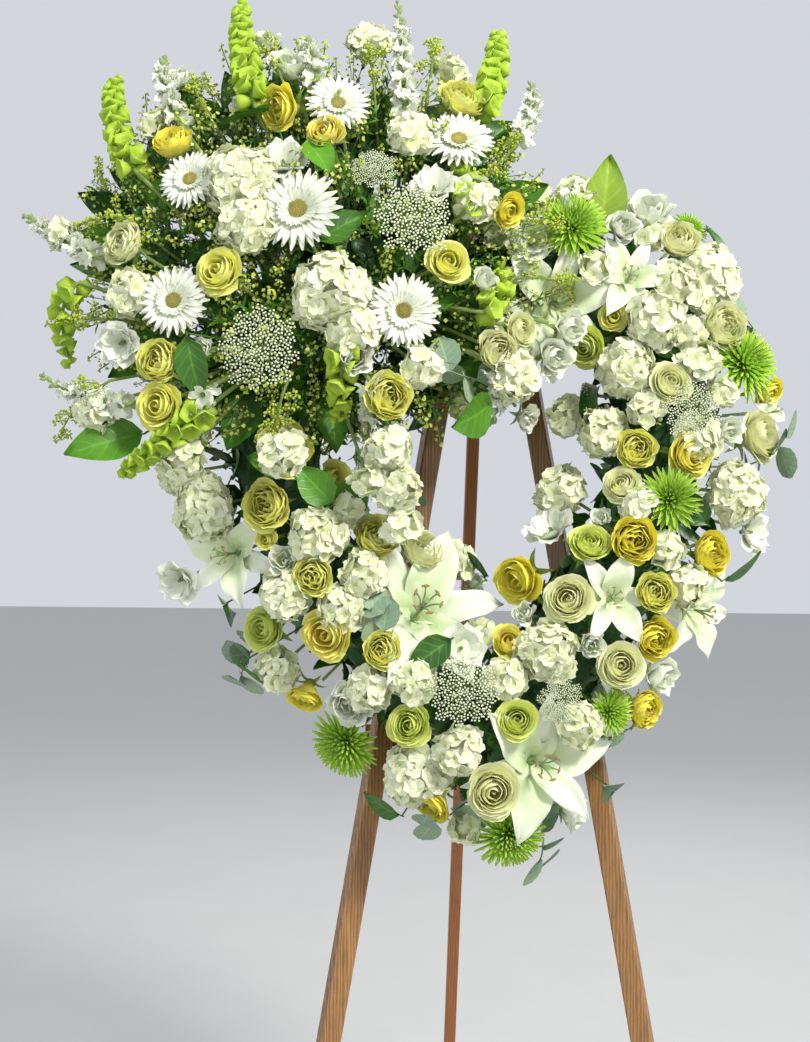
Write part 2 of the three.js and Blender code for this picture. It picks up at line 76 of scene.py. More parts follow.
def curve_points(corners, steps):
    t = np.linspace(0, 1, steps)[:, None]
    a, b, c, d = (np.array(p, float) for p in corners)
    return (1 - t) ** 3 * a + 3 * t * (1 - t) ** 2 * b + 3 * t * t * (1 - t) * c + t ** 3 * d


def heart_line():
    """The centreline of the heart, from the notch down the right side and up the left."""
    half = HEART["half"]
    upper = curve_points(((0, HEART["notch"]), (0.35 * half, HEART["crown"] - 15),
                          (half, HEART["crown"]), (half, HEART["shoulder"])), 41)[:-1]
    lower = curve_points(((half, HEART["shoulder"]), (half, HEART["belly"]),
                          (0.3 * half, HEART["tip"] + 100), (0, HEART["tip"])), 61)
    right = np.vstack((upper, lower))
    line = np.vstack((right, right[1:-1][::-1] * (-1, 1)))
    c, s = math.cos(HEART_TURN), math.sin(HEART_TURN)
    return line @ np.array(((c, s), (-s, c)))


LINE = heart_line()


def on_heart(x, z, lift=0):
    """Where a head and its root are, for a flower on the heart."""
    away = np.hypot(*(LINE - (x, z)).T)
    near = LINE[away.argmin()]
    across = min(0.97, away.min() / BAND_REACH)
    depth = BAND_MIDDLE + BAND_REACH * math.sqrt(1 - across * across) + lift
    return np.array((x, -depth, z), float), np.array((near[0], -BAND_MIDDLE, near[1]))


def on_spray(x, z, lift=0):
    """Where a head and its root are, for a flower on the spray."""
    out = min(1, math.hypot(x - DOME["x"], z - DOME["z"]) / DOME["reach"])
    head = np.array((x, -(DOME["base"] + DOME["depth"] * math.sqrt(1 - out * out)) - lift, z), float)
    long = np.array((math.cos(SPRAY_TURN), 0, math.sin(SPRAY_TURN)))
    slide = float(np.clip((head - SPRAY_MIDDLE) @ long * 0.4, -80, 80))
    root = SPRAY_MIDDLE + long * slide
    root[1] = -SPRAY_ROOT_DEPTH
    return head, root


def facing(axis, spin=0.0):
    """A turn that takes upright to the axis, then spins about it."""
    side = np.cross(axis, (0, 0, 1.0))
    side = unit(side) if np.linalg.norm(side) > 1e-4 else np.array((1.0, 0, 0))
    other = np.cross(axis, side)
    c, s = math.cos(spin), math.sin(spin)
    return np.column_stack((side * c + other * s, other * c - side * s, axis))


# ---------------------------------------------------------------- forms

class Form:
    """Four-sided faces on points in millimetres, with five values at each point: along a petal, across it,
    how far out its layer is, what it is (0 petal, 1 green, 2 pollen), and a tint."""

    def __init__(self, points, faces, values):
        self.points, self.faces, self.values = points, faces, values

    def placed(self, turn, place, size=1.0, tint=None):
        values = self.values
        if tint is not None:
            values = values.copy()
            values[:, 4] = tint
        return Form(self.points * size @ np.asarray(turn).T + place, self.faces, values)


def joined(forms):
    starts = np.cumsum([0] + [len(f.points) for f in forms[:-1]])
    return Form(np.vstack([f.points for f in forms]),
                np.vstack([f.faces + start for f, start in zip(forms, starts)]),
                np.vstack([f.values for f in forms]))


GRIDS = {}


def grid(rows, columns):
    """The faces of a closed shell on a grid: its upper side, then its lower side, which share their edge."""
    if (rows, columns) not in GRIDS:
        upper = np.arange(rows * columns).reshape(rows, columns)
        lower = upper.copy()
        inner = (rows - 2) * (columns - 2)
        lower[1:-1, 1:-1] = rows * columns + np.arange(inner).reshape(rows - 2, columns - 2)
        faces = [np.stack((g[:-1, :-1], g[1:, :-1], g[1:, 1:], g[:-1, 1:]), -1).reshape(-1, 4)
                 for g in (upper, lower)]
        GRIDS[rows, columns] = np.vstack((faces[0], faces[1][:, ::-1]))
    return GRIDS[rows, columns]


def shell(front, thickness, layer=0.5, kind=0.0, tint=0.5):
    """A thin closed petal or leaf from the points of its upper side."""
    rows, columns = front.shape[:2]
    normal = np.cross(np.gradient(front, axis=0), np.gradient(front, axis=1))
    normal /= np.linalg.norm(normal, axis=2, keepdims=True) + 1e-9
    back = (front - normal * thickness)[1:-1, 1:-1].reshape(-1, 3)
    along, across = np.meshgrid(np.linspace(0, 1, rows), np.linspace(-1, 1, columns), indexing="ij")
    values = np.zeros((rows * columns + len(back), 5))
    values[:, 0] = np.concatenate((along.ravel(), along[1:-1, 1:-1].ravel()))
    values[:, 1] = np.concatenate((across.ravel(), across[1:-1, 1:-1].ravel()))
    values[:, 2:] = layer, kind, tint
    return Form(np.vstack((front.reshape(-1, 3), back)), grid(rows, columns), values)


def path_of(lean, length, rows):
    """A path that leans from upright by lean(s) degrees: the distance out, the height and the lean."""
    s = np.linspace(0, 1, 41)
    angle = np.radians(lean(s))
    step = length / 40
    out = np.concatenate(((0,), np.cumsum(np.sin(angle[1:] / 2 + angle[:-1] / 2)) * step))
    height = np.concatenate(((0,), np.cumsum(np.cos(angle[1:] / 2 + angle[:-1] / 2)) * step))
    at = np.linspace(0, 1, rows)
    return [np.interp(at, s, value) for value in (out, height, angle)]


def blade(lean, length, width, turn=0.0, start=(0.0, 0.0), cup=None, rows=6, columns=5, thickness=0.4,
          layer=0.5, kind=0.0, tint=0.5):
    """A petal or leaf that grows from near the axis, with lean(s) in degrees, width(s) and cup(s, v) in mm."""
    out, height, angle = path_of(lean, length, rows)
    s, v = np.linspace(0, 1, rows)[:, None], np.linspace(-1, 1, columns)[None, :]
    lift = cup(s, v) if cup else 0 * s * v
    away = start[0] + out[:, None] - np.cos(angle)[:, None] * lift
    up = start[1] + height[:, None] + np.sin(angle)[:, None] * lift
    side = width(s) * v
    c, d = math.cos(turn), math.sin(turn)
    front = np.stack((away * c - side * d, away * d + side * c, up + 0 * side), -1)
    return shell(front, thickness, layer, kind, tint)


def turned(profile, sides=6, layer=0.5, kind=1.0, tint=0.5):
    """A closed turned form from a profile of (radius, height) pairs, lowest first."""
    angle = np.arange(sides) * 2 * math.pi / sides
    points = np.array([(r * math.cos(a), r * math.sin(a), h) for r, h in profile for a in angle])
    return closed_rings(points, len(profile), sides, layer, kind, tint)


def closed_rings(points, rings, sides, layer, kind, tint):
    index = np.arange(rings * sides).reshape(rings, sides)
    round_index = np.roll(index, -1, axis=1)
    faces = [np.stack((index[:-1], round_index[:-1], round_index[1:], index[1:]), -1).reshape(-1, 4)]
    caps = [(k, k + 1, sides - 2 - k, sides - 1 - k) for k in range(sides // 2 - 1)]
    faces.append(index[-1][np.array(caps)])
    faces.append(index[0][np.array(caps)][:, ::-1])
    values = np.zeros((len(points), 5))
    values[:, 0] = np.repeat(np.linspace(0, 1, rings), sides)
    values[:, 1] = np.tile(np.linspace(-1, 1, sides), rings)
    values[:, 2:] = layer, kind, tint
    return Form(points, np.vstack(faces), values)


def tube(path, radius, sides=6, layer=0.5, kind=1.0, tint=0.5):
    """A closed tube along a path, with one radius or one for each of its points."""
    path = np.asarray(path, float)
    along = np.gradient(path, axis=0)
    along /= np.linalg.norm(along, axis=1, keepdims=True)
    side = np.cross(along[0], (0.31, 0.2, 0.93))
    side = unit(side)
    radii = np.broadcast_to(radius, len(path))
    angle = np.arange(sides) * 2 * math.pi / sides
    points = []
    for place, direction, r in zip(path, along, radii):
        side = unit(side - direction * (side @ direction))
        other = np.cross(direction, side)
        points.append(place + r * (np.cos(angle)[:, None] * side + np.sin(angle)[:, None] * other))
    return closed_rings(np.vstack(points), len(path), sides, layer, kind, tint)


def bent(a, b, c, steps=6):
    """Points of a smooth bend from a to c that is drawn towards b."""
    t = np.linspace(0, 1, steps)[:, None]
    return (1 - t) ** 2 * np.asarray(a) + 2 * t * (1 - t) * np.asarray(b) + t * t * np.asarray(c)


# ---------------------------------------------------------------- flowers, each about its own axis

def rose(size, rng, petals=24, opening=1.0, ruffle=0.03, roll=70.0, heart=0.10, fold=0.0):
    r = size / 2
    forms = []
    fine = np.linspace(0, 1, 33)
    u, v = np.linspace(0, 1, 7)[:, None], np.linspace(-1, 1, 7)[None, :]
    for i in range(petals):
        t = i / (petals - 1)
        half = math.radians(112 - 58 * t ** 0.6) * (1 - 5 * fold * (1 - t))
        lean = np.radians(58 * (1 - fine) ** 2 - 8 + 36 * t * opening
                          + (roll * t ** 1.5 - 16 * (1 - t)) * fine ** 3)
        out, height = np.cumsum(np.sin(lean)), np.cumsum(np.cos(lean))
        reach = r * (heart + (1.04 - heart) * t ** 0.62)
        rise = r * (1.08 + 0.14 * math.sin(math.pi * t) - 0.46 * t ** 1.5 * opening
                    - 0.1 * fold * rng.random())
        out, height = out / out.max() * reach, height / height.max() * rise
        at = u * (1 - 0.16 * np.abs(v) ** 2.6) * (1 + 0.03 * (1 - v * v))
        away = np.interp(at, fine, out)
        up = np.interp(at, fine, height) - 0.72 * r
        phase, waves = rng.uniform(0, ROUND), rng.uniform(2.5, 4.5)
        wave = r * ruffle * (0.35 + t) * u ** 2
        crease = fold * r * np.sin(v * 5 + phase * 2) * u * (1 - t ** 3)
        away = away + wave * np.sin(v * waves + phase) + 0.03 * r * v * u + crease
        up = up + wave * np.cos(v * waves * 1.3 + phase)
        widening = 0.55 + 0.45 * np.sin(np.minimum(1, u / 0.65) * math.pi / 2)
        azimuth = i * GOLDEN + rng.uniform(-0.25, 0.25) + v * half * widening
        front = np.stack((away * np.cos(azimuth), away * np.sin(azimuth), up), -1)
        forms.append(shell(front, 0.012 * size, layer=t))
    forms.append(turned(((0.1 * r, -1.0 * r), (0.24 * r, -0.92 * r), (0.26 * r, -0.7 * r),
                         (0.1 * r, -0.5 * r))))
    for k in range(5):
        forms.append(blade(lambda s: 60 + 75 * s, 0.85 * r, lambda s: 0.16 * r * (1 - s) ** 0.7 + 0.2,
                           k * FIFTH,
                           (0.12 * r, -0.88 * r), rows=4, columns=3, thickness=0.5, kind=1))
    return joined(forms)


def ruffled(size, rng, petals=18, ruffle=0.13):
    """A double flower with thin, crumpled petals."""
    return rose(size, rng, petals, 0.7, ruffle, 45, 0.08, 0.08)


def bowl(size, rng):
    """Lisianthus: two rounds of broad petals that make an open cup with a frilled rim."""
    r = size / 2
    forms = []
    for k in range(10):
        inner = k % 2
        phase = rng.uniform(0, ROUND)
        forms.append(blade(
            lambda s: (62 if inner else 70) - 62 * s + (52 if inner else 78) * s ** 2.4,
            (1.25 if inner else 1.4) * r,
            lambda s: 0.66 * r * np.sin(math.pi * (0.1 + 0.56 * s)) ** 1.2,
            k * math.pi / 5 + rng.uniform(-0.1, 0.1), (0.05 * r, -0.75 * r),
            lambda s, v: 0.42 * r * v * v * np.sin(math.pi * (0.12 + 0.6 * s))
            + 0.07 * r * np.sin(9 * v + phase) * s ** 3,
            rows=8, columns=7, thickness=0.5, layer=0.6 if inner else 1.0))
    for k in range(5):
        forms.append(turned(((0.02 * r, -0.6 * r), (0.025 * r, -0.3 * r), (0.05 * r, -0.12 * r)), 4, kind=1,
                            tint=0.95).placed(
            facing(unit(np.array((0.25 * math.cos(k * FIFTH), 0.25 * math.sin(k * FIFTH), 1)))), (0, 0, 0)))
    forms.append(turned(((0.05 * r, -1.0 * r), (0.14 * r, -0.9 * r), (0.14 * r, -0.66 * r))))
    return joined(forms)


def lily(size, rng):
    r = size / 2
    forms = []
    for k in range(6):
        inner = k % 2 == 0
        wide = (0.34 if inner else 0.24) * r
        phase, sway = rng.uniform(0, ROUND), rng.uniform(-8, 8)
        forms.append(blade(
            lambda s: 30 + sway + (86 if inner else 96) * s ** 1.1,
            1.5 * r,
            lambda s: (wide * (0.16 + 0.84 * np.sin(math.pi * np.clip(s, 0, 1) ** 0.85) ** 0.8)
                       * (1 - 0.9 * s ** 6) + 0.4),
            k * math.pi / 3 + rng.uniform(-0.08, 0.08), (0.05 * r, -0.66 * r),
            lambda s, v: (0.5 * wide * v * v * (1 - 1.2 * s) - 0.16 * wide * np.exp(-(v / 0.22) ** 2)
                          + 0.075 * r * np.sin(13 * s + phase + 2 * v) * v * v * np.sin(math.pi * s ** 0.8)
                          + 0.02 * r * np.cos(9.4 * v) * np.sin(math.pi * s)),
            rows=14, columns=9, thickness=0.9, layer=0.4 if inner else 0.8))
    for k in range(6):
        a = k * math.pi / 3 + 0.5
        c, d = math.cos(a), math.sin(a)
        tip = np.array((0.2 * r * c, 0.2 * r * d, (0.16 + 0.05 * (k % 3)) * r))
        forms.append(tube(bent((0, 0, -0.5 * r), (0.02 * r * c, 0.02 * r * d, 0.15 * r), tip), 0.014 * r, 4,
                          kind=1, tint=0.9))
        forms.append(tube([tip + (-0.055 * r * d, 0.055 * r * c, 0), tip + (0, 0, 0.02 * r),
                           tip + (0.055 * r * d, -0.055 * r * c, 0)],
                          (0.012 * r, 0.022 * r, 0.012 * r), 6, kind=2))
    forms.append(tube([(0, 0, -0.5 * r), (0.02 * r, 0, -0.1 * r), (0.04 * r, 0.03 * r, 0.26 * r),
                       (0.04 * r, 0.03 * r, 0.3 * r)],
                      np.array((0.022, 0.02, 0.022, 0.05)) * r, 6, kind=1, tint=0.8))
    forms.append(turned(((0.02 * r, -0.8 * r), (0.09 * r, -0.72 * r), (0.1 * r, -0.6 * r),
                         (0.04 * r, -0.5 * r))))
    return joined(forms)


def gerbera(size, rng):
    r = size / 2
    forms = []
    for count, long, high, first, layer in ((27, 0.98, -0.02, 78, 1.0), (26, 0.9, 0.02, 70, 0.8),
                                            (24, 0.52, 0.05, 52, 0.55)):
        for k in range(count):
            length = long * r * rng.uniform(0.93, 1.0) - 0.18 * r
            droop = rng.uniform(8, 26)
            forms.append(blade(
                lambda s: first + droop * s,
                length,
                lambda s: (0.078 * r * (0.45 + 0.55 * np.sin(np.minimum(1, s / 0.55) * math.pi / 2))
                           * (1 - 0.75 * s ** 8)),
                (k + rng.uniform(-0.18, 0.18)) * 2 * math.pi / count + layer, (0.16 * r, high * r),
                lambda s, v: 0.03 * r * v * v, rows=5, columns=3, thickness=0.35, layer=layer))
    for k in range(95):
        out = 0.2 * r * math.sqrt((k + 0.5) / 95)
        a = k * GOLDEN
        tall = 0.05 * r + 0.05 * r * (out / (0.2 * r)) ** 2
        place = (out * math.cos(a), out * math.sin(a), 0.06 * r + 0.04 * r * (1 - (out / (0.2 * r)) ** 2))
        forms.append(turned(((0.017 * r, 0), (0.018 * r, tall * 0.7), (0.006 * r, tall)), 4,
                            layer=out / (0.2 * r), kind=2).placed(np.eye(3), place))
    forms.append(turned(((0.05 * r, -0.3 * r), (0.16 * r, -0.24 * r), (0.24 * r, -0.05 * r),
                         (0.16 * r, 0.06 * r)), 8))
    return joined(forms)


def pompon(size, rng, quills=150, dark=False):
    """A chrysanthemum: narrow petals that stand at the middle and lie out at the edge."""
    r = size / 2
    forms = []
    for i in range(quills):
        t = math.sqrt((i + 1) / quills)
        first = 4 + 84 * t
        length = r * (0.34 + 0.56 * t)
        forms.append(blade(
            lambda s: first + (14 - 60 * (1 - t)) * s * s, length,
            lambda s: 0.075 * r * (0.6 + 0.4 * np.sin(math.pi * s)) * (1 - 0.6 * s ** 7) * (0.6 + 0.4 * t),
            i * 2.39996 + rng.uniform(-0.06, 0.06), (0.26 * r * t, (0.28 - 0.42 * t ** 2) * r * 0.5),
            lambda s, v: 0.05 * r * v * v, rows=4, columns=3, thickness=0.35,
            layer=max(0.0, t - (0.25 if dark else 0.0))))
    forms.append(turned(((0.06 * r, -0.42 * r), (0.34 * r, -0.3 * r), (0.4 * r, -0.1 * r),
                         (0.1 * r, 0.12 * r)), 8))
    return joined(forms)


def umbel(size, rng, rays=38):
    """Lace flower: fine rays that carry little flat clusters of dots."""
    r = size / 2
    forms = []
    for i in range(rays):
        t = math.sqrt((i + 0.5) / rays)
        a = i * GOLDEN
        top = np.array((0.88 * r * t * math.cos(a), 0.88 * r * t * math.sin(a), 0.3 * r * (1 - t * t)))
        forms.append(tube(bent((0, 0, -0.75 * r), (0.3 * top[0], 0.3 * top[1], -0.2 * r), top, 4), 0.5, 4,
                          tint=0.8))
        for k in range(12):
            out = 0.15 * r * math.sqrt((k + 0.3) / 12)
            b = k * GOLDEN + i
            place = top + (out * math.cos(b), out * math.sin(b), 0.03 * r + rng.uniform(0, 0.03) * r)
            dot = turned(((0.02 * r, 0), (0.034 * r, 0.018 * r), (0.016 * r, 0.036 * r)), 4, kind=0,
                         layer=rng.uniform(0.4, 1))
            forms.append(dot.placed(facing(unit(np.array((math.cos(b), math.sin(b), 2.2)))), place))
    return joined(forms)


def floret():
    """One four-petalled floret of a hydrangea, 20 mm across, flat on its base."""
    forms = [blade(lambda s: 50 + (46 + 14 * (k % 2)) * s, 12,
                   lambda s: 7.6 * np.sin(math.pi * np.clip(0.1 + 0.76 * s, 0, 1)) ** 0.8,
                   k * math.pi / 2 + 0.1 * (k % 2), (0.6, 0), lambda s,
                   v: (1.8 - 1.2 * (k % 2)) * v * v * s + 0.8 * v * s,
                   rows=4, columns=4, thickness=0.3, layer=0.4 + 0.2 * k)
             for k in range(4)]
    forms.append(turned(((0.5, -2.5), (1.0, 1.0), (0.5, 1.8)), 4, kind=0, layer=0.0))
    return joined(forms)


def lipped(size, rng):
    """An open floret of a snapdragon: two upper lobes, three lower, on a short throat."""
    forms = [blade(lambda s: 12 + 75 * s ** 0.8, size * 0.62,
                   lambda s: size * 0.2 * (0.5 + 0.5 * np.sin(math.pi * 0.85 * s)),
                   k * FIFTH + rng.uniform(-0.2, 0.2),
                   (size * 0.08, -size * 0.25),
                   lambda s, v: size * 0.07 * np.sin(7 * s + 3 * v + k) * s, rows=5, columns=4,
                   thickness=0.4, layer=0.7)
             for k in range(5)]
    forms.append(turned(((size * 0.05, -size * 0.4), (size * 0.12, -size * 0.3), (size * 0.1, -size * 0.1)),
                        6))
    return joined(forms)


def bell():
    """One green cup of bells of Ireland, 20 mm across, with the tiny white flower inside."""
    sides = 10
    angle = np.arange(sides) * 2 * math.pi / sides
    lobes = 1 + 0.1 * np.cos(angle * 5)
    rings = [(1.2, 0), (4.5, 3.5), (8.0, 9.0), (10.6, 13.5), (10.2, 13.7), (7.2, 9.4), (3.6, 4.4),
             (0.9, 2.0)]
    points = []
    for i, (radius, height) in enumerate(rings):
        edge = lobes if 2 <= i <= 5 else 1 + 0 * lobes
        points.append(np.stack((radius * edge * np.cos(angle), radius * edge * np.sin(angle),
                                height + 0 * angle), -1))
    cup = closed_rings(np.vstack(points), len(rings), sides, 0.5, 0.0, 0.5)
    cup.values[:, 0] = np.repeat((0, 0.35, 0.7, 1, 1, 0.7, 0.35, 0), sides)
    eye = turned(((0.9, 2.5), (2.2, 5.5), (1.2, 8)), 4, kind=2)
    return joined([cup, eye])


def simple_leaf(length, width, curl=30.0, fold=0.25, rows=7, columns=5, pointed=True, tint=0.5):
    """A leaf that lies along +X from the origin, with its face up and a short stalk."""
    shape = (lambda s: width / 2 * np.sin(math.pi * np.clip(s, 0, 1) ** 0.75) ** 0.9
             + 0.5) if pointed else \
            (lambda s: width / 2 * np.sqrt(np.clip(1 - (2 * s - 1) ** 2, 0.01, 1)))
    leaf = blade(lambda s: 90 - curl / 2 + curl * s, length, shape, cup=lambda s,
                 v: fold * width * np.abs(v) ** 1.6 / 2,
                 rows=rows, columns=columns, thickness=0.6, kind=1, tint=tint)
    stalk = tube([(-6, 0, -1.5), (0, 0, 0), (length * 0.12, 0, 0)], (1.0, 0.9, 0.5), 4, kind=1, tint=tint)
    return joined([leaf, stalk])


# ---------------------------------------------------------------- pieces

def to_row(points):
    """Points of the wreath, in millimetres, to the row frame, in metres."""
    return ((points + HEART_MIDDLE) @ TO_ROW.T + APEX) * 0.001


def make_mesh(name, form, in_row=True, with_tint=True):
    mesh = bpy.data.meshes.new(name)
    mesh.from_pydata((to_row(form.points) if in_row else form.points * 0.001).tolist(), [],
                     form.faces.tolist())
    petal = mesh.attributes.new("petal", "FLOAT_VECTOR", "POINT")
    petal.data.foreach_set("vector", form.values[:, :3].astype(np.float32).ravel())
    nature = mesh.attributes.new("nature", "FLOAT", "POINT")
    nature.data.foreach_set("value", form.values[:, 3].astype(np.float32))
    if with_tint:
        tint = mesh.attributes.new("tint", "FLOAT", "POINT")
        tint.data.foreach_set("value", form.values[:, 4].astype(np.float32))
    return finish_mesh(mesh)


def finish_mesh(mesh):
    mesh.polygons.foreach_set("use_smooth", [True] * len(mesh.polygons))
    mesh.set_sharp_from_angle(angle=math.radians(110))
    mesh.update()
    return mesh


def make_piece(name, mesh, finish, replaces=()):
    piece = bpy.data.objects.new(name, mesh)
    bpy.context.scene.collection.objects.link(piece)
    mesh.materials.clear()
    mesh.materials.append(bpy.data.materials[finish])
    if replaces:
        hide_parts(*replaces)
    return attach(piece, "front")


def stem(head, root, below):
    """A stem from below a head to the foam."""
    axis = unit(head - root)
    return tube([head - axis * below, (head + root) / 2, root + axis * STEM_TIP_CLEAR * 0.4],
                (2.2, 2.0, 2.0), 6, tint=0.4)


def outlook(head, root, share=0.7):
    """The way a head looks: along its stem, and partly straight out."""
    return unit(unit(head - root) + share * np.array((0, -1.0, 0.12)))


def stood(kind_form, head, root, size, spin, tint, tip=None):
    """A head turned the way it looks, with a lean if it has one, and its stem."""
    axis = outlook(head, root)
    if tip is not None:
        axis = unit(axis + np.array(tip, float))
    return joined([kind_form.placed(facing(axis, spin), head, tint=tint), stem(head, root, 0.6 * size)])


# ---------------------------------------------------------------- node trees

class Value:
    """A number socket, with which node maths is written as an expression."""

    def __init__(self, graph, socket):
        self.graph, self.socket = graph, socket

    def maths(self, operation, *others, swap=False, clamp=False):
        terms = (others[0], self) if swap else (self, *others)
        return self.graph.node("ShaderNodeMath", {"operation": operation, "use_clamp": clamp},
                               dict(enumerate(terms)))

    def __add__(self, other):
        return self.maths("ADD", other)

    def __sub__(self, other):
        return self.maths("SUBTRACT", other)

    def __rsub__(self, other):
        return self.maths("SUBTRACT", other, swap=True)

    def __mul__(self, other):
        return self.maths("MULTIPLY", other)

    def __truediv__(self, other):
        return self.maths("DIVIDE", other)

    def __pow__(self, other):
        return self.maths("POWER", other)

    __radd__, __rmul__ = __add__, __mul__

    def clamped(self):
        return self.maths("ADD", 0.0, clamp=True)


class Graph:
    """A node tree whose nodes all come from one method."""

    def __init__(self, tree):
        self.tree = tree

    def node(self, kind, settings=None, sockets=None, out=0):
        made = self.tree.nodes.new(kind)
        for name, value in (settings or {}).items():
            if name == "stops":
                ramp = made.color_ramp
                while len(ramp.elements) < len(value):
                    ramp.elements.new(0.5)
                for element, (position, colour) in zip(ramp.elements, value):
                    element.position, element.color = position, (*colour, 1.0)
            else:
                setattr(made, name, value)
        for name, value in (sockets or {}).items():
            self.feed(made.inputs[name], value)
        return Value(self, made.outputs[out]) if made.outputs else made

    def feed(self, socket, value):
        if isinstance(value, Value):
            self.tree.links.new(value.socket, socket)
        elif hasattr(value, "__len__") and not isinstance(value, str) and socket.type == "RGBA":
            socket.default_value = (*tuple(value)[:3], 1.0)
        else:
            socket.default_value = value

    def other(self, value, name):
        return Value(self, value.socket.node.outputs[name])


class Finish(Graph):
    """A material: surface colours and patterns go into one Principled shader."""

    def __init__(self, name):
        self.material = bpy.data.materials.new(name)
        self.material.use_nodes = True
        super().__init__(self.material.node_tree)
        self.tree.nodes.clear()

    def attribute(self, name, part="Fac"):
        return self.node("ShaderNodeAttribute", {"attribute_name": name}, out=part)

    def petal(self):
        parts = self.node("ShaderNodeSeparateXYZ", None, {0: self.attribute("petal", "Vector")})
        return parts, self.other(parts, "Y"), self.other(parts, "Z")

    def noise(self, vector, scale, detail=2.0, rough=0.5, part="Fac"):
        return self.node("ShaderNodeTexNoise", None, {"Vector": vector, "Scale": scale, "Detail": detail,
                                                      "Roughness": rough}, out=part)

    def place(self):
        return self.node("ShaderNodeTexCoord", None, None, out="Object")

    def vector(self, x, y, z):
        return self.node("ShaderNodeCombineXYZ", None, {0: x, 1: y, 2: z})

    def ramp(self, factor, stops, interpolation="LINEAR"):
        made = self.node("ShaderNodeValToRGB", {"stops": stops}, {"Fac": factor}, out="Color")
        made.socket.node.color_ramp.interpolation = interpolation
        return made

    def mix(self, factor, first, second, blend="MIX"):
        made = self.tree.nodes.new("ShaderNodeMix")
        made.data_type, made.blend_type = "RGBA", blend
        for socket, value in zip((made.inputs[0], made.inputs[6], made.inputs[7]), (factor, first, second)):
            self.feed(socket, value)
        return Value(self, made.outputs[2])

    def bump(self, height, strength, distance):
        return self.node("ShaderNodeBump", None, {"Height": height, "Strength": strength,
                                                  "Distance": distance}, out="Normal")

    def surface(self, colour, roughness, normal=None, through=None, through_share=0.0, **rest):
        sockets = {"Base Color": colour, "Roughness": roughness,
                   **{k.replace("_", " "): v for k, v in rest.items()}}
        if normal is not None:
            sockets["Normal"] = normal
        shader = self.node("ShaderNodeBsdfPrincipled", None, sockets)
        if through is not None:
            thin = self.node("ShaderNodeBsdfTranslucent", None, {"Color": through})
            shader = self.node("ShaderNodeMixShader", None, {0: through_share, 1: shader, 2: thin})
        self.node("ShaderNodeOutputMaterial", None, {"Surface": shader})
        return self.material


GREEN, YOUNG_GREEN, POLLEN = (0.11, 0.2, 0.045), (0.3, 0.42, 0.1), (0.42, 0.22, 0.04)


def petal_finish(name, heart, body, rim, pollen=POLLEN, through=0.36, veins=0.35, spread=0.0):
    """Petals whose colour runs from the heart of the flower to its rims, with fine veins and a green base."""
    f = Finish(name)
    along, across, layer = f.petal()
    nature, tint = f.attribute("nature"), f.attribute("tint")
    inner = ((1.0 - layer) * 0.7 + (1.0 - along) * 0.9 - 0.35 + (tint - 0.5) * 0.5).clamped()
    colour = f.mix(inner, body, heart)
    mottle = f.noise(f.place(), 90.0)
    lip = (along ** 4.0 * 0.9 + across ** 6.0 * 0.5 + (mottle - 0.5) * 0.3
           + (tint - 0.5) * spread).clamped()
    colour = f.mix(lip, colour, rim)
    fine = f.noise(f.vector(across * 14.0, along * 1.2, layer * 9.0 + tint * 5.0), 1.6, 2.0)
    colour = f.mix((0.55 - fine).clamped() * veins, colour, toward(body, heart, 0.7))
    colour = f.mix((1.0 - along * 6.0).clamped() * 0.12, colour, YOUNG_GREEN)
    green = (1.0 - nature.maths("SUBTRACT", 1.0).maths("ABSOLUTE") * 2.0).clamped()
    colour = f.mix(green, colour, f.mix(tint, GREEN, YOUNG_GREEN))
    colour = f.mix((nature * 2.0 - 3.0).clamped(), colour, f.mix(layer.clamped(), pollen,
                                                                 tuple(c * 0.55 for c in pollen)))
    normal = f.bump(fine + f.noise(f.place(), 130.0) * 0.8, 0.4, 0.0009)
    return f.surface(colour, 0.5, normal, toward(body, rim, 0.4), through, Sheen_Weight=0.15,
                     Sheen_Roughness=0.5)


def leaf_finish(name, dark, bright, gloss=0.4, through=0.15):
    """Leaves with a pale midrib and side veins; the tint picks between two greens."""
    f = Finish(name)
    along, across, _ = f.petal()
    tint = f.attribute("tint")
    side = across.maths("ABSOLUTE")
    colour = f.mix((tint + (f.noise(f.place(), 60.0) - 0.5) * 0.5).clamped(), dark, bright)
    rib = (1.0 - side * 9.0).clamped()
    slant = ((along * 34.0 - side * 9.0).maths("SINE") * 3.0 - 2.0).clamped()
    vein = (rib + slant * 0.45).clamped()
    colour = f.mix(vein * 0.3, colour, tuple(min(1, c * 1.7 + 0.02) for c in bright))
    return f.surface(colour, gloss, f.bump(vein * -1.0, 0.4, 0.0008), bright, through)


def wood_finish(name, dark, bright):
    """Stained, lacquered wood with its grain along the legs."""
    f = Finish(name)
    place = f.place()
    stretched = f.node("ShaderNodeMapping", None, {"Vector": place, "Scale": (38.0, 38.0, 2.2)})
    grain = f.noise(stretched, 3.2, 5.0, 0.62)
    rings = f.node("ShaderNodeTexWave", {"wave_type": "BANDS", "bands_direction": "X"},
                   {"Vector": f.node("ShaderNodeMapping", None,
                                     {"Vector": place, "Scale": (60.0, 60.0, 1.1)}),
                    "Scale": 1.3, "Distortion": 5.0, "Detail": 2.0, "Detail Scale": 1.4}, out="Fac")
    colour = f.ramp((grain * 0.7 + rings * 0.4 - 0.05).clamped(),
                    ((0.2, dark), (0.55, tuple((a + b) / 2 for a, b in zip(dark, bright))), (0.85, bright)))
    pores = f.noise(f.node("ShaderNodeMapping", None, {"Vector": place, "Scale": (420.0, 420.0, 14.0)}),
                    2.0, 2.0)
    colour = f.mix(((pores - 0.58) * 5.0).clamped() * 0.45, colour, tuple(c * 0.4 for c in dark))
    return f.surface(colour, 0.34 + grain * 0.18, f.bump(grain * 0.6 + pores * 0.4, 0.25, 0.0006),
                     Coat_Weight=0.25, Coat_Roughness=0.3)


